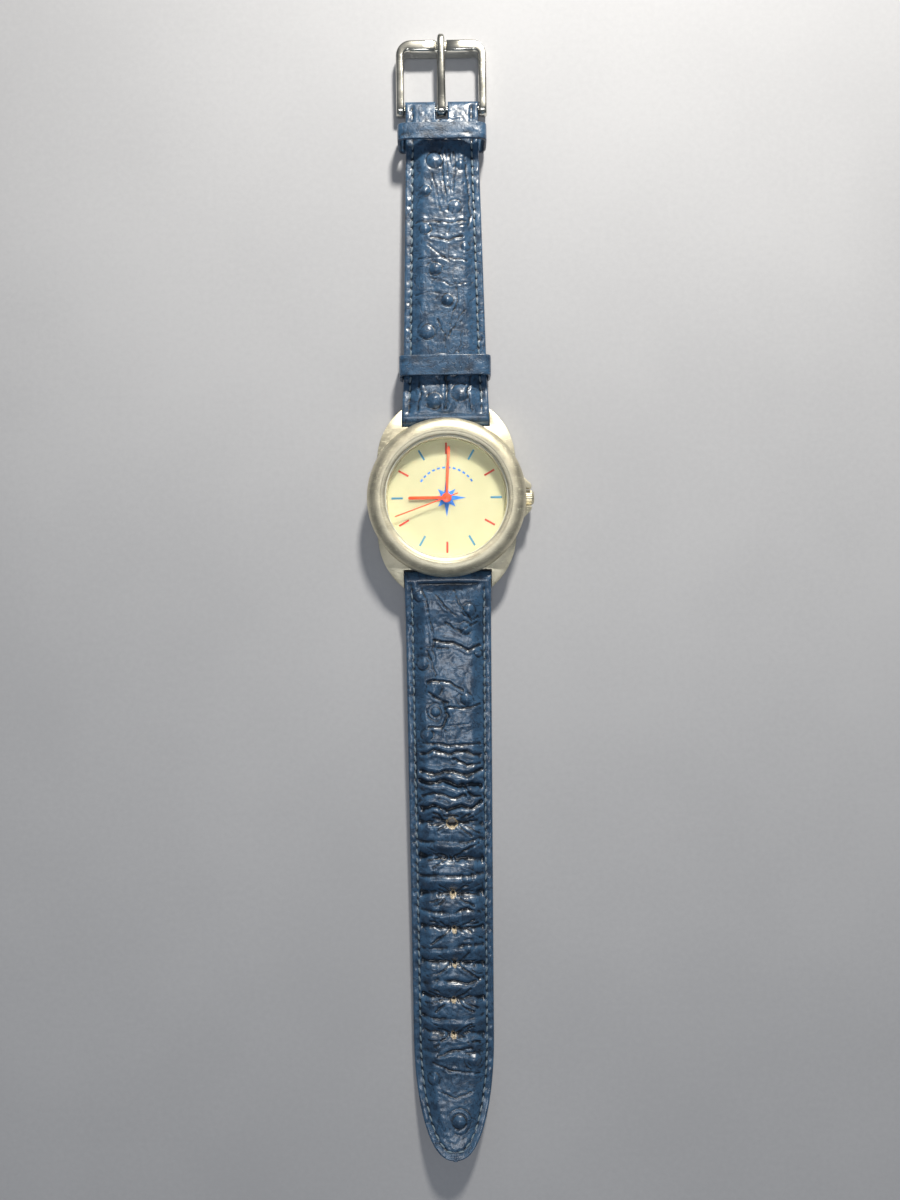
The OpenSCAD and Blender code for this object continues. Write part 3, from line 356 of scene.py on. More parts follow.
redMark = paintedFinish("redMark", (0.44, 0.035, 0.02), (0.54, 0.055, 0.03), 0.5)
blueMark = paintedFinish("blueMark", (0.035, 0.17, 0.30), (0.06, 0.25, 0.40), 0.45)
bluePrint = paintedFinish("bluePrint", (0.015, 0.13, 0.55), (0.03, 0.22, 0.70), 0.5, broad=900.0)
orangeLacquer = paintedFinish("orangeLacquer", (0.70, 0.055, 0.012), (0.82, 0.085, 0.018), 0.4, coat=0.2)
whitePlastic = paintedFinish("whitePlastic", (0.72, 0.71, 0.66), (0.82, 0.81, 0.77), 0.4)
whiteGasket = paintedFinish("whiteGasket", (0.60, 0.60, 0.50), (0.76, 0.76, 0.66), 0.35)
blackRubber = paintedFinish("blackRubber", (0.012, 0.012, 0.012), (0.03, 0.03, 0.03), 0.7)
greenBoard = paintedFinish("greenBoard", (0.01, 0.09, 0.03), (0.02, 0.14, 0.05), 0.35)
waxedThread = threadFinish()
watchGlass = glassFinish()
print("materials ready")

hardAngle = 32  # edges sharper than this are rounded over


def addPiece(name, bm, material, body, stands=(), smooth=35):
    mesh = bpy.data.meshes.new(name)
    bm.to_mesh(mesh)
    bm.free()
    mesh.materials.append(material)
    mesh.shade_smooth()
    if smooth:
        mesh.set_sharp_from_angle(angle=math.radians(smooth))
    piece = bpy.data.objects.new(name, mesh)
    bpy.context.scene.collection.objects.link(piece)
    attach(piece, body)
    if stands:
        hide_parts(*stands)
    return piece


def softenedCopy(node, name, material, width):
    # the CAD node's own shape, with its hard edges rounded over
    body = nodes[node]["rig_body"]
    bm = bmesh.new()
    bm.from_mesh(nodes[node].data)
    bmesh.ops.remove_doubles(bm, verts=bm.verts, dist=2e-6)
    bmesh.ops.dissolve_limit(bm, angle_limit=math.radians(0.6), verts=bm.verts, edges=bm.edges)
    hard = [e for e in bm.edges if len(e.link_faces) == 2 and e.calc_face_angle(0) > math.radians(hardAngle)]
    if hard:
        bmesh.ops.bevel(bm, geom=hard, offset=width * mm, offset_type="OFFSET", affect="EDGES",
                        segments=2, profile=0.5, material=-1, clamp_overlap=True)
    bmesh.ops.remove_doubles(bm, verts=bm.verts, dist=1e-6)
    return addPiece(name, bm, material, body, [node])


def spunPiece(name, profile, material, body, stands=(), steps=180, smooth=35, closed=True):
    bm = bmesh.new()
    points = [bm.verts.new((r * mm, 0, z * mm)) for r, z in profile]
    edges = [bm.edges.new(pair) for pair in zip(points, points[1:])]
    if closed:
        edges.append(bm.edges.new((points[-1], points[0])))
    bmesh.ops.spin(bm, geom=points + edges, cent=(0, 0, 0), axis=(0, 0, 1), dvec=(0, 0, 0),
                   angle=2 * math.pi, steps=steps, use_merge=True)
    bmesh.ops.remove_doubles(bm, verts=bm.verts, dist=1e-7)
    bmesh.ops.recalc_face_normals(bm, faces=bm.faces)
    return addPiece(name, bm, material, body, stands, smooth)


# The bezel: a blasted dome with a narrow slope down to the glass
bezelShape = {"domeSteps": 22, "domeWidth": 2.6, "beltHeight": 0.73, "seatOut": 1.37, "seatHeight": 2.15,
              "slopeDrop": 0.20, "innerGap": 0.03}


def makeBezel():
    low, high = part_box("bezel")
    outer, bottom, top = high.x / mm, low.z / mm, high.z / mm
    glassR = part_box("crystal_gasket")[1].x / mm
    widest = bottom + bezelShape["beltHeight"]
    crest = outer - bezelShape["domeWidth"]
    seat = glassR + bezelShape["seatOut"]
    turns = [math.radians(90 * i / bezelShape["domeSteps"]) for i in range(bezelShape["domeSteps"] + 1)]
    dome = [(crest + (outer - crest) * math.cos(t), widest + (top - widest) * math.sin(t)) for t in turns]
    lip = glassR + bezelShape["innerGap"]
    profile = [(seat, bottom), (outer - 0.75, bottom), (outer - 0.35, bottom + 0.12), (outer, widest - 0.2)]
    profile += dome
    profile += [(glassR + 0.86, top - 0.03), (glassR + 0.80, top - 0.05), (glassR + 0.76, top - 0.11)]
    profile += [(lip + 0.1, top - bezelShape["slopeDrop"]), (lip, top - bezelShape["slopeDrop"] - 0.08)]
    profile += [(lip, bottom + bezelShape["seatHeight"]), (seat, bottom + bezelShape["seatHeight"])]
    return spunPiece("bezelRing", profile, blastedSteel, "head", ["bezel"], steps=220,
                     smooth=40)


makeBezel()
softenedCopy("case_middle", "caseMiddle", blastedSteel, 0.12)
softenedCopy("crown", "crownKnob", blastedSteel, 0.05)
softenedCopy("case_back", "caseBack", plainSteel, 0.06)
print("case done")


def makeGlass():
    low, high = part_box("crystal")
    r, bottom, top = high.x / mm, low.z / mm, high.z / mm
    profile = [(0, bottom), (r, bottom), (r, top - 0.2), (r - 0.06, top - 0.08), (r - 0.2, top),
               (r - 0.26, top), (0, top)]
    spunPiece("crystalGlass", profile, watchGlass, "head", ["crystal"], closed=False)


def makeDial():
    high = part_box("dial")[1]
    r, top = high.x / mm, high.z / mm
    hole = 0.87
    profile = [(hole, top - 0.4), (r, top - 0.4), (r, top - 0.06), (r - 0.06, top), (hole + 0.05, top),
               (hole, top - 0.05)]
    spunPiece("dialPlate", profile, creamDial, "head", ["dial"], steps=128)


makeGlass()
makeDial()
softenedCopy("red_hour_marks", "redHourMarks", redMark, 0.015)
softenedCopy("blue_hour_marks", "blueHourMarks", blueMark, 0.015)
softenedCopy("hour_hand", "hourHand", orangeLacquer, 0.03)
softenedCopy("minute_hand", "minuteHand", orangeLacquer, 0.03)
softenedCopy("second_hand", "secondHand", orangeLacquer, 0.02)
print("dial and hands done")

# Stitches: short slanted grains of thread that dip into the leather at both ends
stitchShape = {"pitch": 1.8, "length": 1.42, "width": 0.40, "height": 0.34, "slant": 7}

# Depths of the leather's relief in mm; a swell is (depth, size, seed)
relief = {"swells": [(0.22, 2.6, 3), (0.10, 1.1, 5)], "crown": 0.22, "quillLift": 1.25, "foldReach": 1.9,
          "foldSink": 0.7, "seamDip": 0.16, "stitchDip": 0.14, "edgeTuck": 0.42}

# Places on a strap are (x, s) in mm: across it, and along it from its spring bar.
bar = {"y": centreOf("upper_spring_bar").y, "z": centreOf("upper_spring_bar").z, "loop": 2.1}
fold = {"s": centreOf("buckle_bar").y - bar["y"], "z": centreOf("buckle_bar").z, "r": 1.5}
upperLen = fold["s"]
lowerLen = -bar["y"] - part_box("lower_strap_leather")[0].y / mm
upperStart = upperLen - 5.0  # where the upper half thins towards its fold
tipStart = lowerLen - 24.7  # where the lower half starts to narrow to its tip
curlStart = lowerLen - 21.7  # where it starts to lift off the table
curlRadius = 52
lugHalf = sizeOf("upper_strap_leather").x / 2
buckleHalf = 7.6
seamInset = 1.5
rimRadius = 0.55  # the rounded upper edge of the leather
liningDepth = 0.6

upperStrap = {
    "name": "upperLeather", "body": "upper_strap", "way": 1, "length": upperLen + fold["r"],
    "stands": ["upper_strap_leather", "upper_strap_padding"],
    "halfWidth": [(-2.1, lugHalf), (2, lugHalf), (8, lugHalf - 0.28), (upperStart - 4, buckleHalf + 0.05),
                  (upperLen + 2, buckleHalf)],
    "bottom": [(0, 1.3), (7, 1.1), (upperStart, 1.1), (upperLen, 0.2)],
    "edge": [(0, 5.5), (2.5, 5.15), (7, 4.2), (upperStart, 3.6), (upperLen, 3.2)],
    "rise": [(-1.0, -0.3), (0.6, 0.2), (3.5, 1.05), (10, 1.0), (upperStart - 4, 0.95),
             (upperStart + 0.5, 0.1), (upperLen, 0)],
    "quills": [(-1.6, 53.1, 1.7, 0.36), (-3.6, 46.8, 1.2, 0.40), (-3.7, 38.9, 1.2, 0.34),
               (-1.7, 30.4, 1.3, 0.40), (0.7, 23.9, 1.25, 0.52), (-3.5, 17.4, 1.5, 0.36),
               (-2.3, 2.9, 1.7, 0.5), (3.1, 4.6, 1.9, 0.5), (2.5, 43.4, 1.4, 0.26), (3.9, 52.2, 1.1, 0.24),
               (1.6, 9.4, 1.4, 0.3), (4.6, 35.2, 1.0, 0.16)],
    "rings": [(-3.5, 17.9, 2.0, 0.12), (0.8, 23.6, 1.9, 0.10), (-3.6, 46.8, 1.75, 0.10),
              (-1.8, 30.2, 1.9, 0.10)],
    "creases": [
        ([(-0.5, 55), (0.1, 50), (0.6, 45.5), (0.9, 42.5)], 0.16, 0.13),
        ([(0.7, 55.4), (0.9, 51), (1.3, 46)], 0.14, 0.12),
        ([(-2.3, 50.5), (-1.2, 46), (-0.4, 42.2)], 0.14, 0.12),
        ([(2.3, 55), (2.4, 50), (1.9, 45)], 0.12, 0.12),
        ([(4.6, 54), (5.3, 48), (5.6, 42), (5.2, 39.8), (3.4, 39.4)], 0.16, 0.14),
        ([(1.6, 55.5), (1.5, 48), (1.0, 41)], 0.10, 0.10),
        ([(-5.6, 40.2), (-2, 40.6), (1.5, 40), (4.8, 40.4)], 0.22, 0.18),
        ([(-2.6, 37.2), (0.4, 36.5), (3.8, 37.2)], 0.26, 0.2),
        ([(-3.2, 35.6), (-0.6, 33.2), (1.2, 32)], 0.16, 0.13),
        ([(-5.2, 32.6), (0, 32.8), (4.9, 32.2)], 0.18, 0.15),
        ([(-2.5, 28.5), (1.4, 27.1), (4.9, 27.5)], 0.16, 0.13),
        ([(2.5, 27.8), (2.7, 24), (1.6, 20.3), (1.2, 17)], 0.16, 0.13),
        ([(-5.8, 25.4), (-2.4, 25.8), (0.2, 25.2)], 0.13, 0.12),
        ([(4.2, 22), (2.2, 18.6), (0.6, 16.2)], 0.14, 0.12),
        ([(-1.6, 20.2), (-0.2, 17.5), (0.2, 14)], 0.16, 0.13),
        ([(3.6, 18.4), (3.2, 15), (3.0, 13)], 0.12, 0.11),
        ([(-0.4, 11.5), (0.4, 7), (0.2, 1.5)], 0.30, 0.3), ([(5.2, 8), (4.6, 4.5), (5.6, 1)], 0.2, 0.2),
        ([(-5.6, 9), (-5.0, 4.5), (-5.8, 1)], 0.2, 0.2), ([(-1, 61.5), (0, 62.4), (3.5, 62)], 0.12, 0.12)],
    "fineCreases": (46, 0.07, 90)}

holeRows = [50.6, 58.0, 65.4, 72.8, 80.2, 87.6, 95.0]
holeShifts = [0.2, -0.1, 0.2, 0.4, 0.4, 0.1, 0.0]
# at each hole: depth and width of its fold, and depth of the fold halfway to the next
holeFolds = [(0.55, 0.6, 0.5), (0.95, 0.75, 0.75), (0.85, 0.7, 0.65), (0.6, 0.5, 0.45),
             (0.75, 0.5, 0.6), (0.65, 0.5, 0.7), (0.5, 0.55, 0.35)]
holeTears = [1.3, 0.35, 1.15, 1.0, 0.85, 0.95, 1.1]  # how far the lips are torn to the raw hide
lowerStrap = {
    "name": "lowerLeather", "body": "lower_strap", "way": -1, "length": lowerLen,
    "stands": ["lower_strap_leather", "lower_strap_padding"],
    "bottom": [(0, 1.3), (5, 0.8), (12, 0.05), (lowerLen, 0.05)],
    "edge": [(0, 5.5), (3, 4.9), (9, 3.5), (43, 2.8), (73, 2.1), (98, 1.75), (lowerLen, 1.6)],
    "rise": [(0.2, -0.9), (0.8, -0.45), (4, 0.95), (7, 1.25), (46, 1.25), (98, 1.2), (lowerLen - 8, 0.85),
             (lowerLen - 2.4, 0)],
    "quills": [(4.2, 6.1, 1.4, 0.36), (-6.0, 3.1, 1.1, 0.3), (3.5, 9.9, 1.3, 0.3), (-5.4, 17.2, 1.3, 0.4),
               (6.2, 15.1, 0.8, 0.3), (-3.2, 22.5, 1.7, 0.42), (3.6, 24.6, 1.35, 0.5),
               (-2.9, 27.2, 1.1, 0.32), (-4.7, 32.0, 1.3, 0.4), (4.3, 100.3, 1.5, 0.36),
               (-4.3, 104.2, 1.3, 0.3), (0.9, 112.4, 1.5, 0.38), (-4.2, 84.5, 1.2, 0.25),
               (3.2, 62.0, 1.2, 0.2), (-3.4, 69.2, 1.3, 0.2), (3.4, 76.2, 1.3, 0.24)],
    "rings": [(-2.9, 27.2, 1.85, 0.2), (-5.3, 17.4, 1.9, 0.18), (3.6, 24.6, 1.9, 0.14),
              (0.9, 112.4, 2.5, 0.16), (4.3, 100.3, 2.1, 0.16), (-4.2, 84.5, 1.7, 0.12),
              (0.9, 112.4, 1.4, 0.1)],
    "creases": [
        ([(-5.4, 1.2), (-4.1, 6), (-3.2, 12.5), (-3.0, 17.5)], 0.16, 0.13),
        ([(-2.4, 3), (-0.6, 5.6), (1.6, 7.4)], 0.16, 0.12),
        ([(1.2, 1.6), (2.2, 4.6), (4.8, 8.3), (6.3, 7.2)], 0.18, 0.13),
        ([(-0.6, 8.8), (2.4, 10.6), (5.8, 8.6)], 0.2, 0.16),
        ([(-2.9, 12.4), (0.9, 12.9), (4.1, 14.4), (6.6, 13.6)], 0.34, 0.22),
        ([(-5.8, 14.0), (-3.4, 13.9), (-0.2, 14)], 0.14, 0.12),
        ([(-4.4, 14.6), (-2.9, 19.4), (-3.1, 21.6)], 0.16, 0.13),
        ([(-4.6, 21), (-3.4, 20.5), (0, 21.2), (2.6, 22.6)], 0.3, 0.2),
        ([(-4.2, 23.2), (-2.6, 24.6), (-0.6, 25.4)], 0.3, 0.22),
        ([(-0.8, 26.4), (3.2, 26.6), (6.4, 25.7)], 0.24, 0.18),
        ([(-1.3, 25.5), (-0.4, 28), (-1.6, 30.6), (-4.2, 30.2)], 0.26, 0.2),
        ([(-4.6, 30.4), (-1, 30.2), (5.8, 29.8)], 0.14, 0.12),
        ([(-0.8, 29), (-0.6, 33), (0.2, 36)], 0.10, 0.1),
        ([(-5.6, 33.7), (-0.5, 34.2), (6.2, 34)], 0.26, 0.2),
        ([(-5.9, 35.9), (-3.2, 35.2), (-0.4, 36.0), (2.8, 35.6), (6.2, 36.4)], 0.42, 0.28),
        ([(-5.8, 39.5), (-3.4, 40.4), (0.2, 39.7), (3.4, 40.5), (6.4, 39.6)], 0.62, 0.36),
        ([(0.6, 37.2), (3.4, 38.3), (6.2, 38.0)], 0.3, 0.2),
        ([(-6.2, 41.5), (-3.9, 42.0), (-1.6, 41.6), (1.5, 42.9), (4.2, 42.3), (6.2, 43.1)], 0.85, 0.42),
        ([(-6, 44.9), (-2.4, 44.1), (0.3, 45.3), (3.2, 44.6)], 0.36, 0.22),
        ([(3.0, 43.0), (4.6, 44.9), (6.3, 45.2)], 0.3, 0.2),
        ([(-5.9, 47.5), (-3.6, 46.7), (-0.8, 47.8), (2.2, 46.9), (4.4, 47.6), (6.3, 46.4)], 0.7, 0.36),
        ([(-2.6, 47.2), (-1.4, 48.8), (1.2, 49.2)], 0.3, 0.2),
        ([(3.8, 97.8), (0.4, 98.4), (-3.2, 99.4)], 0.3, 0.22),
        ([(-4.6, 101.0), (-0.6, 102.6), (5.2, 103.2)], 0.2, 0.16),
        ([(-3.6, 106.4), (0.3, 108), (4.2, 106.6)], 0.14, 0.13),
        ([(-5.2, 96.4), (0.4, 96.0), (5.6, 96.8)], 0.2, 0.15)],
    "fineCreases": (80, 0.07, 0)}


def stepped(table, s):
    return np.interp(s, [p[0] for p in table], [p[1] for p in table])


def curl(s):
    reach = np.clip(s - curlStart, 0, None)
    return curlRadius - np.sqrt(np.clip(curlRadius ** 2 - reach * reach, 0, None))


def lowerHalf(s):
    t = np.clip((s - tipStart) / (lowerLen - tipStart), 0, 0.9995)
    base = lugHalf - 0.5 * np.clip(s / tipStart, 0, 1)
    return base * (1 - t ** 2.2) ** (1 / 2.4)


def halfWidthOf(strap, s):
    return stepped(strap["halfWidth"], s) if "halfWidth" in strap else lowerHalf(s)


def outlinePoints(strap, inset=0.0):
    if strap["way"] > 0:
        s = np.arange(-2, strap["length"], 0.1)
    else:
        tip = tipStart + (lowerLen - tipStart) * np.sin(np.linspace(0, math.pi / 2, 500))
        s = np.concatenate([np.arange(-2, tipStart, 0.1), tip])
    return np.stack([halfWidthOf(strap, s) - inset, s], 1)


def edgeDistance(strap, x, s):
    # how far a place lies inside the strap's outline
    side = halfWidthOf(strap, s) - np.abs(x)
    if strap["way"] > 0:
        return side
    near = s > tipStart - 3
    outline = outlinePoints(strap)
    outline = outline[outline[:, 1] > tipStart - 8]
    px, ps = np.abs(x[near]), s[near]
    best = np.full(px.shape, 99.0)
    for chunk in np.array_split(outline, 12):
        gap = np.hypot(px[:, None] - chunk[None, :, 0], ps[:, None] - chunk[None, :, 1])
        best = np.minimum(best, gap.min(1))
    out = side.copy()
    out[near] = np.minimum(best, np.maximum(side[near], 0) + 0.001)
    return out


def smoothStep(value, low, high):
    t = np.clip((value - low) / (high - low), 0, 1)
    return t * t * (3 - 2 * t)


def bell(gap, width):
    return np.exp(-(gap / width) ** 2)


def pathDistance(points, x, s):
    best = np.full(x.shape, 99.0)
    for (ax, ay), (bx, by) in zip(points, points[1:]):
        dx, dy = bx - ax, by - ay
        t = np.clip(((x - ax) * dx + (s - ay) * dy) / (dx * dx + dy * dy), 0, 1)
        best = np.minimum(best, np.hypot(x - ax - t * dx, s - ay - t * dy))
    return best


def wander(x, s, scale, seed):
    # smooth value noise, for uneven padding and creases
    table = np.random.default_rng(seed).random((64, 64))
    gx, gy = x / scale + 20, s / scale + 20
    ix, iy = np.floor(gx).astype(int), np.floor(gy).astype(int)
    fx, fy = gx - ix, gy - iy
    fx, fy = fx * fx * (3 - 2 * fx), fy * fy * (3 - 2 * fy)
    a, b = table[ix % 64, iy % 64], table[(ix + 1) % 64, iy % 64]
    c, d = table[ix % 64, (iy + 1) % 64], table[(ix + 1) % 64, (iy + 1) % 64]
    return (a * (1 - fx) + b * fx) * (1 - fy) + (c * (1 - fx) + d * fx) * fy - 0.5


def creaseList(strap):
    # the named creases, then seeded short ones that fill the grain between them
    count, depth, lean = strap["fineCreases"]
    made = list(strap["creases"])
    for i in range(count):
        x0, s0 = random.uniform(-5.5, 5.5), random.uniform(1, strap["length"] - 8)
        turn = math.radians(lean + random.normal(0, 28))
        length = random.uniform(1.2, 3.6)
        bend = random.uniform(-0.5, 0.5)
        x1, s1 = x0 + length * math.cos(turn), s0 + length * math.sin(turn)
        x1 = min(6.2, max(-6.2, x1))
        mid = ((x0 + x1) / 2 + bend * math.sin(turn), (s0 + s1) / 2 + bend * math.cos(turn))
        made.append(([(x0, s0), mid, (x1, s1)], depth * random.uniform(0.6, 1.4), 0.1))
    return made


def holePuckers():
    # creases that fan out sideways from each hole
    made = []
    for shift, row in zip(holeShifts, holeRows):
        for side in (-1, 1):
            for lean in (-0.55, -0.3, -0.08, 0.15, 0.38, 0.6):
                reach = random.uniform(2.6, 6.0)
                drift = lean * reach + random.normal(0, 0.25)
                start = (shift + side * 0.8, row + lean * 0.6)
                mid = (shift + side * reach * 0.55, row + drift * 0.5 + random.normal(0, 0.15))
                end = (max(-6.3, min(6.3, shift + side * reach)), row + drift)
                made.append(([start, mid, end], random.uniform(0.12, 0.3), random.uniform(0.12, 0.2)))
    return made


upperStrap["allCreases"] = creaseList(upperStrap)
lowerStrap["allCreases"] = creaseList(lowerStrap) + holePuckers()


def topHeight(strap, x, s):
    inside = edgeDistance(strap, x, s)
    edge = stepped(strap["edge"], s)
    if strap["way"] < 0:
        edge = edge + curl(s)
    pad = smoothStep(inside, seamInset + 0.1, seamInset + 2.6)
    dome = 1 - relief["crown"] * (np.abs(x) / 8) ** 2
    height = stepped(strap["rise"], s) * pad * dome
    padded = smoothStep(inside, seamInset + 0.05, seamInset + 0.7)
    for depth, size, seed in relief["swells"]:
        height = height + padded * depth * wander(x, s, size, seed)
    height = height + padded * 0.11 * wander(x, s * 1.3, 0.6, 9) + 0.05 * wander(x, s, 0.45, 11)
    if strap["way"] < 0:
        for i, (shift, row) in enumerate(zip(holeShifts, holeRows)):
            line = row + 0.9 * wander(x, np.full_like(x, row), 3.5, 20 + i) + 0.05 * x
            deep, wide, middle = holeFolds[i]
            uneven = 0.8 + 0.9 * wander(x, s, 2.0, 31)
            height = height - padded * deep * bell(s - line, wide) * uneven
            height = height + padded * 0.20 * bell(s - line - 1.35, 0.6)
            height = height - padded * relief["foldSink"] * deep * bell(s - line, relief["foldReach"])
            half = row + 3.7 + 1.2 * wander(x, np.full_like(x, row), 3.0, 50 + i)
            uneven = 0.6 + 1.3 * wander(x, s, 2.4, 61)
            height = height - padded * middle * bell(s - half, 0.42) * uneven
            height = height + padded * 0.22 * bell(s - half - 1.1, 0.7)
            height = height - 0.35 * bell(np.hypot(x - shift, s - row), 1.3)
    for qx, qs, radius, tall in strap["quills"]:
        gap = np.hypot(x - qx, s - qs)
        cap = np.clip(1 - (gap / radius) ** 2, 0, 1)
        height = height + padded * (tall * relief["quillLift"]) * cap ** 1.3
        foot = strap["way"] * 0.35 * radius
        height = height + padded * 0.14 * bell(np.hypot(x - qx, s - qs + foot), 0.3)
        height = height - padded * 0.10 * bell(gap - radius * 1.02, 0.16)
    for qx, qs, radius, deep in strap["rings"]:
        gap = np.hypot(x - qx, s - qs) + 0.25 * wander(x, s, 1.3, 77)
        turn = 0.6 + 0.4 * np.cos(np.arctan2(s - qs, x - qx) + qx)
        height = height - padded * deep * turn * bell(gap - radius, 0.2)
        height = height + padded * 0.5 * deep * turn * bell(gap - radius + 0.45, 0.25)
    wobbleX, wobbleS = x + 0.45 * wander(x, s, 1.2, 81), s + 0.45 * wander(x, s, 1.2, 82)
    for points, deep, wide in strap["allCreases"]:
        xs, ss = [p[0] for p in points], [p[1] for p in points]
        near = (x > min(xs) - 2) & (x < max(xs) + 2) & (s > min(ss) - 2) & (s < max(ss) + 2)
        if not near.any():
            continue
        gap = pathDistance(points, wobbleX[near], wobbleS[near])
        uneven = 1 + 0.9 * wander(x[near], s[near], 1.9, 83)
        cut = -deep * uneven * bell(gap, wide * 1.3)
        cut = cut + 0.45 * deep * bell(gap - 2.6 * wide, 1.4 * wide)
        height[near] = height[near] + cut * padded[near]
    # the edge band outside the seam is drawn down at every stitch
    pull = 0.5 + 0.5 * np.cos(2 * math.pi * s / stitchShape["pitch"])
    band = bell(inside - seamInset, 0.33)
    height = height - band * (relief["seamDip"] + relief["stitchDip"] * pull)
    tuck = bell(inside - seamInset + 0.6, 0.5) * (wander(x, s * 1.7, 1.5, 91) + 0.2)
    height = height - relief["edgeTuck"] * np.clip(tuck, 0, 1)
    fadeFold = smoothStep(s, 0.1, 0.8)
    if strap["way"] > 0:
        fadeFold = fadeFold * (1 - smoothStep(s, upperLen - 0.5, upperLen + 1.0))
    corner = np.clip(rimRadius - inside, 0, rimRadius)
    drop = rimRadius - np.sqrt(np.clip(rimRadius ** 2 - corner ** 2, 0, None))
    return edge + height * fadeFold - drop


def sideHeights(strap, x, s):
    # the top and the underside of the leather at each place
    top = topHeight(strap, x, s)
    bottom = stepped(strap["bottom"], s)
    if strap["way"] < 0:
        bottom = bottom + curl(s)
    recess = liningDepth * smoothStep(s, 3.0, 3.6)  # room for the lining
    if strap["way"] > 0:
        recess = recess * (1 - smoothStep(s, upperStart - 1.4, upperStart - 0.8))
    bottom = bottom + recess
    loop = s < 0
    arc = np.sqrt(np.clip(bar["loop"] ** 2 - np.minimum(s, 0) ** 2, 0, None))
    top = np.where(loop, bar["z"] + arc - (5.5 - top) * 0.3 * smoothStep(s, -2.1, 0), top)
    bottom = np.where(loop, bar["z"] - arc, bottom)
    if strap["way"] > 0:
        turned = s > upperLen
        arc = np.sqrt(np.clip(fold["r"] ** 2 - np.clip(s - upperLen, 0, None) ** 2, 0, None))
        top = np.where(turned, fold["z"] + arc, top)
        bottom = np.where(turned, fold["z"] - arc, bottom)
    inside, under = edgeDistance(strap, x, s), 0.35
    corner = np.clip(under - inside, 0, under)
    bottom = bottom + (under - np.sqrt(np.clip(under ** 2 - corner ** 2, 0, None)))
    return top, np.minimum(bottom, top - 0.02)


def rowPlaces(strap, pitch):
    main = list(np.arange(0, strap["length"] - 2, pitch))
    start = [-2.1 * math.cos(math.radians(a)) for a in (0, 20, 40, 58, 74)]
    if strap["way"] > 0:
        main = [s for s in main if s < upperLen - pitch]
        end = [upperLen + fold["r"] * math.sin(math.radians(a)) for a in (0, 15, 32, 50, 70, 90)]
    else:
        main = [s for s in main if s < tipStart]
        steps = int(30 / pitch)
        reach = lowerLen - tipStart
        end = [tipStart + reach * math.sin(math.pi / 2 * i / steps) for i in range(steps + 1)]
    return start + main + end


def columnPlaces(count):
    # columns crowd together at both edges, to round them
    inner = list(np.linspace(-0.9, 0.9, count))
    edges = [-1, -0.996, -0.982, -0.962, -0.935]
    return edges + inner + [-e for e in reversed(edges)]


def flatGrid(strap, pitch, columns, inset=0.0, start=-math.inf, end=math.inf):
    # a grid from start to end of the strap, as wide as the strap is at each row
    rows = [s for s in rowPlaces(strap, pitch) if start <= s <= end]
    across = columnPlaces(columns)
    bm = bmesh.new()
    bmesh.ops.create_grid(bm, x_segments=len(across) - 1, y_segments=len(rows) - 1, size=1.0)
    half = halfWidthOf(strap, np.array(rows)) - inset
    for v in bm.verts:
        i = round((v.co.x + 1) / 2 * (len(across) - 1))
        j = round((v.co.y + 1) / 2 * (len(rows) - 1))
        v.co = (across[i] * max(half[j], 0.02), rows[j], 0)
    return bm


def cutHoles(bm, widths):
    for i, (shift, row) in enumerate(zip(holeShifts, holeRows)):
        a, b = widths[0] if i == 0 else widths[1]
        middles = [(f, f.calc_center_median()) for f in bm.faces]
        gone = [f for f, at in middles if ((at.x - shift) / a) ** 2 + ((at.y - row) / b) ** 2 < 1.0]
        bmesh.ops.delete(bm, geom=gone, context="FACES")
        for v in bm.verts:
            dx, dy = (v.co.x - shift) / a, (v.co.y - row) / b
            reach = math.hypot(dx, dy)
            if 0.2 < reach < 2.2 and v.is_boundary:
                around = math.atan2(dy, dx)
                torn = 1 + 0.14 * math.sin(3 * around + i) + 0.1 * math.sin(7 * around + 2 * i)
                v.co.x, v.co.y = shift + dx / reach * a * torn, row + dy / reach * b * torn


def cutTongueSlot(bm, halfSlot, start):
    middles = [(f, f.calc_center_median()) for f in bm.faces]
    gone = [f for f, at in middles if abs(at.x) < halfSlot and at.y > start]
    bmesh.ops.delete(bm, geom=gone, context="FACES")


def closeUnder(bm):
    # a copy of the sheet below it, joined round every edge
    flat = list(bm.faces)
    made = bmesh.ops.extrude_face_region(bm, geom=flat, use_keep_orig=True)
    lowered = [g for g in made["geom"] if isinstance(g, bmesh.types.BMVert)]
    for v in lowered:
        v.co.z = -1
    loose = [v for v in bm.verts if not v.link_faces]
    bmesh.ops.delete(bm, geom=loose, context="VERTS")


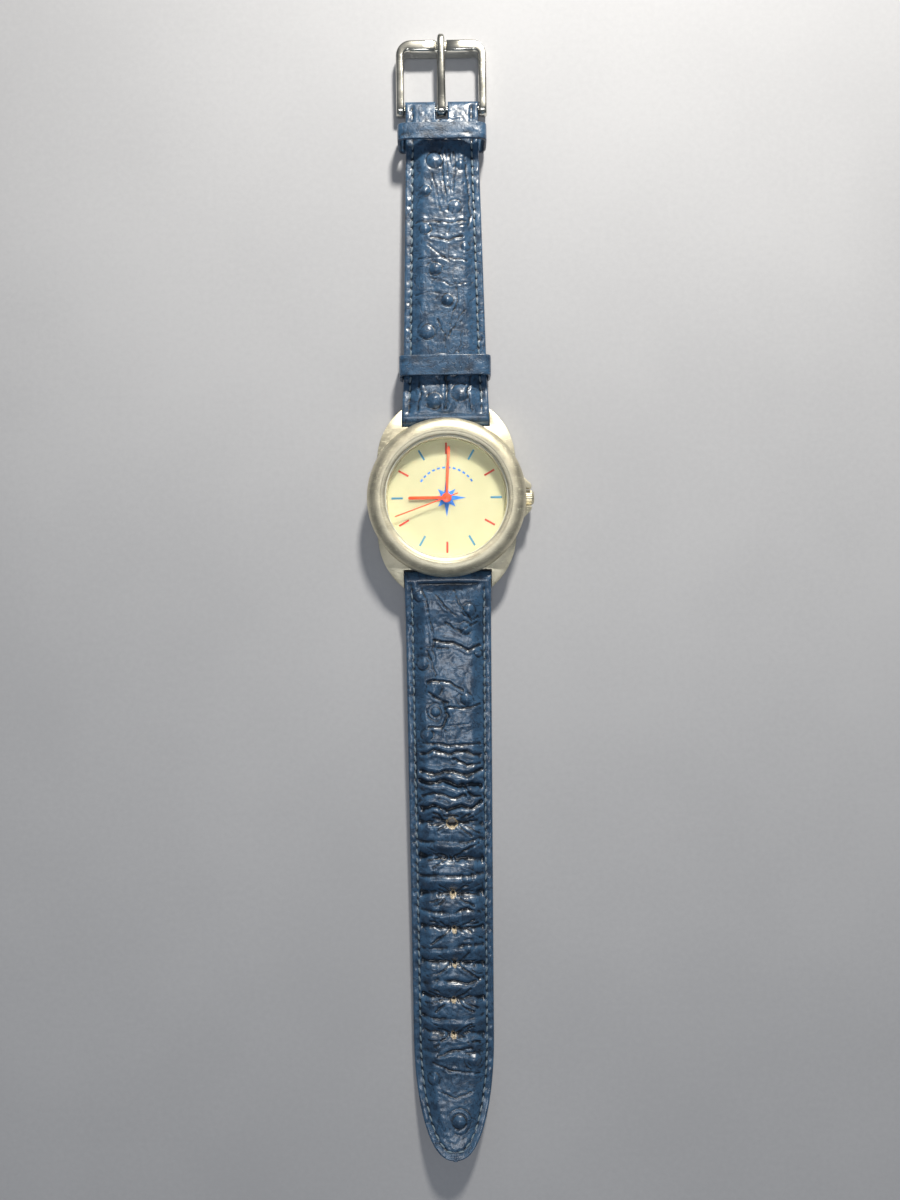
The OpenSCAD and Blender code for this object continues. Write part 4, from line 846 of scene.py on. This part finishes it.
def raiseStrap(piece, strap, heights):
    mesh = piece.data
    count = len(mesh.vertices)
    co = np.empty(count * 3)
    mesh.vertices.foreach_get("co", co)
    co = co.reshape(-1, 3)
    x, s, under = co[:, 0].copy(), co[:, 1].copy(), co[:, 2] < -0.5
    top, bottom = heights(strap, x, s)
    plan = mesh.attributes.new("planPlace", "FLOAT_VECTOR", "POINT")
    plan.data.foreach_set("vector", np.stack([x, s, np.where(under, 4.0, 0.0)], 1).ravel())
    wear = mesh.attributes.new("wear", "FLOAT", "POINT")
    worn = np.zeros(count)
    if strap["way"] < 0:
        for i, (shift, row) in enumerate(zip(holeShifts, holeRows)):
            a, b, down = (1.45, 1.45, 0.0) if i == 0 else (0.85, 1.05, 0.3)
            gap = np.hypot((x - shift) / a, (s - row - down) / b)
            worn = np.maximum(worn, holeTears[i] * np.exp(-gap ** 2 * 1.1))
    worn[under] = 0
    wear.data.foreach_set("value", worn)
    # how far each place lies below its neighbours, kept as painted shade that darkens the valleys
    steps = ((0.5, 0), (-0.5, 0), (0, 0.5), (0, -0.5))
    around = sum(heights(strap, x + dx, s + dy)[0] for dx, dy in steps) / 4
    paintedHollowShade = mesh.attributes.new("paintedHollowShade", "FLOAT", "POINT")
    paintedHollowShade.data.foreach_set("value", np.where(under, 0.0, np.clip(around - top, 0, 0.5)))
    co[:, 1] = strap["way"] * (bar["y"] + s)
    co[:, 2] = np.where(under, bottom, top)
    mesh.vertices.foreach_set("co", (co * mm).ravel())
    bm = bmesh.new()
    bm.from_mesh(mesh)
    bmesh.ops.remove_doubles(bm, verts=bm.verts, dist=2e-6)
    bmesh.ops.recalc_face_normals(bm, faces=bm.faces)
    bm.to_mesh(mesh)
    bm.free()
    mesh.update()


def makeLeather(strap, pitch, columns):
    bm = flatGrid(strap, pitch, columns)
    if strap["way"] < 0:
        cutHoles(bm, ((0.95, 0.85), (0.42, 0.36)))
    else:
        cutTongueSlot(bm, 1.3, upperLen - 2.9)
    closeUnder(bm)
    piece = addPiece(strap["name"], bm, navyLeather, strap["body"], strap["stands"],
                     smooth=None)
    raiseStrap(piece, strap, sideHeights)
    piece.data.shade_smooth()
    return piece


def liningHeights(strap, x, s):
    bottom = stepped(strap["bottom"], s) + (curl(s) if strap["way"] < 0 else 0)
    inside = edgeDistance(strap, x, s)
    corner = np.clip(0.25 - inside, 0, 0.25)
    return bottom + liningDepth - 0.02, bottom + 0.5 * corner


def makeLining(strap, name, node, end):
    bm = flatGrid(strap, 0.6, 30, inset=0.04, start=3.5, end=end)
    if strap["way"] < 0:
        cutHoles(bm, ((1.0, 0.95), (0.8, 0.7)))
    closeUnder(bm)
    piece = addPiece(name, bm, liningLeather, strap["body"], [node], smooth=None)
    raiseStrap(piece, strap, liningHeights)
    piece.data.set_sharp_from_angle(angle=math.radians(40))
    return piece


makeLeather(upperStrap, 0.26, 58)
makeLining(upperStrap, "upperLining", "upper_strap_lining", upperStart - 0.5)
print("upper strap done")
makeLeather(lowerStrap, 0.26, 60)
makeLining(lowerStrap, "lowerLining", "lower_strap_lining", math.inf)
print("lower strap done")


def seamPlaces(strap, start, end):
    # evenly spaced places along one side of the seam, and round the tip
    outline = outlinePoints(strap)
    if strap["way"] < 0:
        tangent = np.gradient(outline, axis=0)
        tangent /= np.linalg.norm(tangent, axis=1)[:, None]
        normal = np.stack([-tangent[:, 1], tangent[:, 0]], 1)
        line = outline + normal * seamInset
        line = line[line[:, 0] > 0.0]
    else:
        line = outlinePoints(strap, seamInset)
    line = line[(line[:, 1] > start) & (line[:, 1] < end)]
    steps = np.concatenate([[0], np.cumsum(np.linalg.norm(np.diff(line, axis=0), axis=1))])
    count = max(2, round(steps[-1] / stitchShape["pitch"]))
    marks = np.linspace(0.5, count - 0.5, count) * steps[-1] / count
    x, s = np.interp(marks, steps, line[:, 0]), np.interp(marks, steps, line[:, 1])
    ahead = np.minimum(marks + 0.3, steps[-1])
    hx, hs = np.interp(ahead, steps, line[:, 0]), np.interp(ahead, steps, line[:, 1])
    return x, s, np.arctan2(hs - s, hx - x)


def makeStitching(strap, name, node, start, end):
    bm = bmesh.new()
    x, s, turn = seamPlaces(strap, start, end)
    for side in (-1, 1):
        z = topHeight(strap, side * x, s)
        zAhead = topHeight(strap, side * (x + 0.25 * np.cos(turn)), s + 0.25 * np.sin(turn))
        for i in range(len(x)):
            angle = turn[i] if side > 0 else math.pi - turn[i]
            made = bmesh.ops.create_uvsphere(bm, u_segments=8, v_segments=6, radius=0.5)
            size = Matrix.Diagonal((stitchShape["length"], stitchShape["width"], stitchShape["height"], 1))
            slant = math.radians(stitchShape["slant"] * side + random.normal(0, 3))
            tilt = Matrix.Rotation(-math.atan2(zAhead[i] - z[i], 0.25) * 0.6, 4, "Y")
            spun = Matrix.Rotation(angle + slant, 4, "Z")
            place = Matrix.Translation((side * x[i], s[i], z[i] + 0.10))
            bmesh.ops.transform(bm, matrix=place @ spun @ tilt @ size, verts=made["verts"])
    way = strap["way"]
    for v in bm.verts:
        v.co = Vector((v.co.x, way * (bar["y"] + v.co.y), v.co.z)) * mm
    return addPiece(name, bm, waxedThread, strap["body"], [node], smooth=None)


makeStitching(upperStrap, "upperStitches", "upper_strap_stitching", 3.2, upperStart - 2.6)
makeStitching(lowerStrap, "lowerStitches", "lower_strap_stitching", 2.2, lowerLen + 1)
print("stitching done")


# Keepers and buckle are swept: rings of one rounded section, joined in turn
def sweepRings(bm, stations, segments, closeEnds=True):
    last = None
    for centre, along, across, width, height, power in stations:
        along, across = Vector(along).normalized(), Vector(across).normalized()
        up = along.cross(across)
        ring = bmesh.ops.create_circle(bm, cap_ends=False, radius=1.0, segments=segments)["verts"]
        for v in ring:
            turn = math.atan2(v.co.y, v.co.x)
            c, k = math.cos(turn), math.sin(turn)
            px = width / 2 * math.copysign(abs(c) ** (2 / power), c)
            pz = height / 2 * math.copysign(abs(k) ** (2 / power), k)
            v.co = Vector(centre) + across * px + up * pz
        edges = list({e for v in ring for e in v.link_edges})
        if last:
            bmesh.ops.bridge_loops(bm, edges=last + edges)
        elif closeEnds:
            bmesh.ops.contextual_create(bm, geom=edges)
        last = edges
    if closeEnds:
        bmesh.ops.contextual_create(bm, geom=last)
    bmesh.ops.recalc_face_normals(bm, faces=bm.faces)


keeperShape = {"thick": 0.68, "steps": 14, "power": 6.5, "rim": 0.18, "crumple": 0.16, "fineCrumple": 0.08}


def makeKeeper(name, node, body, seed):
    low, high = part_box(node)
    width, length, height = ((high - low) / mm)[:]
    midY, midZ = (low.y + high.y) / 2 / mm, (low.z + high.z) / 2 / mm
    bm = bmesh.new()
    steps, power = keeperShape["steps"], keeperShape["power"]
    stations = []
    for i in range(steps + 1):
        y = -length / 2 + length * i / steps
        edge = 0.05 * (abs(i - steps / 2) / (steps / 2)) ** 4
        stations.append(((0, y, 0), (0, 1, 0), (1, 0, 0), width - edge, height - edge, power))
    sweepRings(bm, stations, 144, closeEnds=False)
    bmesh.ops.solidify(bm, geom=list(bm.faces), thickness=keeperShape["thick"])
    rim = [e for e in bm.edges if len(e.link_faces) == 2 and e.calc_face_angle(0) > math.radians(60)]
    bmesh.ops.bevel(bm, geom=rim, offset=keeperShape["rim"], offset_type="OFFSET", affect="EDGES",
                    segments=3, profile=0.5, material=-1)
    plan = bm.verts.layers.float_vector.new("planPlace")
    # painted shade: the crumple's hollows are stored so the leather finish darkens them
    keeperHollowShade = bm.verts.layers.float.new("paintedHollowShade")
    for v in bm.verts:
        x, y, z = v.co
        spread = np.array([x]), np.array([y * 1.6 + seed])
        crumple = keeperShape["crumple"] * float(wander(*spread, 1.7, seed)[0])
        crumple += keeperShape["fineCrumple"] * float(wander(*spread, 0.8, seed + 1)[0])
        v[plan] = (x + 40, y + seed, z)
        v[keeperHollowShade] = max(0.0, -crumple)
        lift = crumple if z > 0.2 * height else 0
        v.co = Vector((x, midY + y, midZ + z + lift)) * mm
    piece = addPiece(name, bm, navyLeather, body, [node], smooth=None)
    piece.data.set_sharp_from_angle(angle=math.radians(50))
    return piece


makeKeeper("fixedKeeper", "fixed_keeper", "upper_strap", 13)
makeKeeper("freeKeeper", "free_keeper", "keeper", 29)
print("keepers done")

buckleShape = {"arm": 1.7, "bar": 2.5, "corner": 3.2, "eye": 1.35, "notchHalf": 1.15, "notchDeep": 0.55,
               "power": 5.0}


def makeBuckleFrame():
    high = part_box("buckle_frame")[1]
    half, far, top = high.x / mm, high.y / mm, high.z / mm
    eyeY, eyeZ = centreOf("buckle_bar").y, centreOf("buckle_bar").z
    corner, arm, power = buckleShape["corner"], buckleShape["arm"], buckleShape["power"]
    armX = half - arm / 2
    stations = []

    def addStation(x, y, along, width, bottom, topHere):
        across = (along[1], -along[0], 0)
        stations.append(((x, y, (bottom + topHere) / 2), (*along, 0), across, width, topHere - bottom,
                         power))

    for i in range(7):  # the round eye at the arm's end
        turn = math.radians(12 + 13 * i)
        reach = buckleShape["eye"] * math.sin(turn)
        addStation(-armX, eyeY - buckleShape["eye"] * math.cos(turn), (0, 1), arm, eyeZ - reach,
                   eyeZ + reach)
    for y, bottom, z in ((1, 0.42, 3.05), (2.5, 0.5, 3.08), (5, 0.42, 3.2), (8, 0.3, 3.3)):
        addStation(-armX, eyeY + y, (0, 1), arm, bottom, z)
    for i in range(13):  # the corner, widening to the far bar
        turn = math.radians(7.5 * i)
        width = arm + (buckleShape["bar"] - arm) * i / 12
        reach = corner - width / 2
        addStation(-half + corner - reach * math.cos(turn), far - corner + reach * math.sin(turn),
                   (math.sin(turn), math.cos(turn)), width, 0.15, 3.33 + 0.07 * i / 12)
    barY = far - buckleShape["bar"] / 2
    notch = buckleShape["notchHalf"]
    for x, sink in ((-4, 0), (-notch - 0.15, 0), (-notch - 0.02, 0.08),
                    (-notch + 0.06, buckleShape["notchDeep"])):
        addStation(x, barY, (1, 0), buckleShape["bar"], 0.1, top - sink)
    mirrored = []
    for (x, y, z), along, across, width, height, bend in reversed(stations):
        mirrored.append(((-x, y, z), (along[0], -along[1], 0), (-across[0], across[1], 0), width, height,
                         bend))
    bm = bmesh.new()
    sweepRings(bm, stations + mirrored, 40)
    bmesh.ops.scale(bm, verts=bm.verts, vec=(mm, mm, mm))
    return addPiece("buckleFrame", bm, polishedSteel, "buckle", ["buckle_frame"],
                    smooth=60)


def makeBuckleTongue():
    low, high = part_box("buckle_tongue")
    width, tip = (high.x - low.x) / mm, high.y / mm
    eyeY, eyeZ = centreOf("buckle_bar").y, centreOf("buckle_bar").z
    top = high.z / mm
    path = []
    for i in range(15):  # the wrap round the buckle bar, from in front of it, under it and back over it
        turn = math.radians(282 - 14 * i)
        path.append((eyeY + 1.05 * math.cos(turn), eyeZ + 1.05 * math.sin(turn), 0.6, 1.0))
    rise = top - 0.55
    path += [(eyeY + 0.9, eyeZ + 1.02, 0.7, 1.0), (eyeY + 2.2, eyeZ + 0.98, 0.95, 1.0),
             (eyeY + 4.5, eyeZ + 1.12, 1.1, 0.97)]
    path += [(eyeY + 7.5, rise - 0.28, 1.1, 0.93), (tip - 4.2, rise - 0.04, 1.1, 0.9),
             (tip - 2.2, rise, 1.08, 0.9)]
    path += [(tip - 1.1, rise - 0.03, 1.02, 0.88), (tip - 0.5, rise - 0.12, 0.9, 0.8),
             (tip - 0.16, rise - 0.2, 0.66, 0.62),
             (tip - 0.02, rise - 0.24, 0.3, 0.34)]
    stations = []
    for i, (y, z, thick, narrow) in enumerate(path):
        before, after = path[max(0, i - 1)], path[min(len(path) - 1, i + 1)]
        along = (0, after[0] - before[0], after[1] - before[1])
        stations.append(((0, y, z), along, (1, 0, 0), width * narrow, thick, 2.8))
    bm = bmesh.new()
    sweepRings(bm, stations, 32)
    bmesh.ops.scale(bm, verts=bm.verts, vec=(mm, mm, mm))
    return addPiece("buckleTongue", bm, polishedSteel, "tongue", ["buckle_tongue"],
                    smooth=60)


makeBuckleFrame()
makeBuckleTongue()
softenedCopy("buckle_bar", "buckleBar", polishedSteel, 0.08)
softenedCopy("upper_spring_bar", "upperSpringBar", plainSteel, 0.05)
softenedCopy("lower_spring_bar", "lowerSpringBar", plainSteel, 0.05)
print("buckle and bars done")

# The rest of the CAD nodes keep their own meshes
carried = {
    "crystal_gasket": whiteGasket, "case_back_gasket": blackRubber, "stem_tube": plainSteel,
    "crown_gasket": blackRubber, "winding_stem": plainSteel, "sliding_pinion": plainSteel,
    "setting_lever": plainSteel, "setting_wheel": plainSteel, "movement_holder": whitePlastic,
    "main_plate": nickelPlate, "train_bridge": nickelPlate, "bridge_screws": plainSteel,
    "circuit_board": greenBoard, "quartz_can": plainSteel, "coil": copperWire, "stator": plainSteel,
    "battery": plainSteel, "battery_clamp": plainSteel, "rotor": magnetSteel, "fifth_wheel": whitePlastic,
    "fourth_wheel": whitePlastic, "third_wheel": turnedBrass, "centre_wheel": turnedBrass,
    "cannon_pinion": turnedBrass, "minute_wheel": whitePlastic, "hour_wheel": turnedBrass,
    "dial_motif": bluePrint}
for name, mat in carried.items():
    nodes[name].data.materials.clear()
    nodes[name].data.materials.append(mat)
print("movement finished")

# The floor, two soft lights and the camera
def makeFloor():
    bm = bmesh.new()
    bmesh.ops.create_grid(bm, x_segments=1, y_segments=1, size=1.5)
    mesh = bpy.data.meshes.new("paleFloor")
    bm.to_mesh(mesh)
    bm.free()
    mesh.materials.append(paintedFinish("paleFloorPaint", (0.52, 0.53, 0.56), (0.58, 0.59, 0.62), 0.8,
                                        broad=14.0, fine=900.0))
    floor = bpy.data.objects.new("paleFloor", mesh)
    bpy.context.scene.collection.objects.link(floor)


def addSoftbox(name, power, size, place, aim, tint=(1, 1, 1)):
    lamp = bpy.data.lights.new(name, "AREA")
    lamp.energy = power
    lamp.shape = "DISK"
    lamp.size = size
    lamp.color = tint
    box = bpy.data.objects.new(name, lamp)
    bpy.context.scene.collection.objects.link(box)
    box.location = place
    box.rotation_mode = "QUATERNION"
    box.rotation_quaternion = (Vector(aim) - Vector(place)).to_track_quat("-Z", "Y")


lightPlan = {"keyTurn": 12, "keyRise": 36, "keyReach": 0.34, "keyPower": 1.25, "keySize": 0.045,
             "fillPlace": (0.0, -0.085, 0.45), "fillPower": 0.40, "fillSize": 0.13, "room": 0.12}
makeFloor()
turn, rise = math.radians(lightPlan["keyTurn"]), math.radians(lightPlan["keyRise"])
aim = Vector((0, -0.005, 0))
keyWay = Vector((math.sin(turn) * math.cos(rise), math.cos(turn) * math.cos(rise), math.sin(rise)))
addSoftbox("keyBox", lightPlan["keyPower"], lightPlan["keySize"], aim + keyWay * lightPlan["keyReach"], aim,
           (1.0, 0.95, 0.86))
addSoftbox("fillBox", lightPlan["fillPower"], lightPlan["fillSize"], lightPlan["fillPlace"], (0, -0.03, 0),
           (0.95, 0.97, 1.0))
world = bpy.data.worlds.new("softRoom")
bpy.context.scene.world = world
world.use_nodes = True
world.node_tree.nodes["Background"].inputs["Color"].default_value = (0.80, 0.88, 1.0, 1)
world.node_tree.nodes["Background"].inputs["Strength"].default_value = lightPlan["room"]
bpy.context.scene.view_settings.view_transform = "Standard"

cameraPlan = {"x": 0.0004, "y": -0.0211, "z": 0.1916, "lens": 27.04, "lean": 0.76}
lens = bpy.data.cameras.new("viewCamera")
lens.sensor_width = 36
lens.lens = cameraPlan["lens"]
lens.clip_start, lens.clip_end = 0.005, 10
camera = bpy.data.objects.new("viewCamera", lens)
bpy.context.scene.collection.objects.link(camera)
camera.location = (cameraPlan["x"], cameraPlan["y"], cameraPlan["z"])
camera.rotation_euler = (0, 0, -math.radians(cameraPlan["lean"]))
bpy.context.scene.camera = camera
print("floor, light and camera ready")
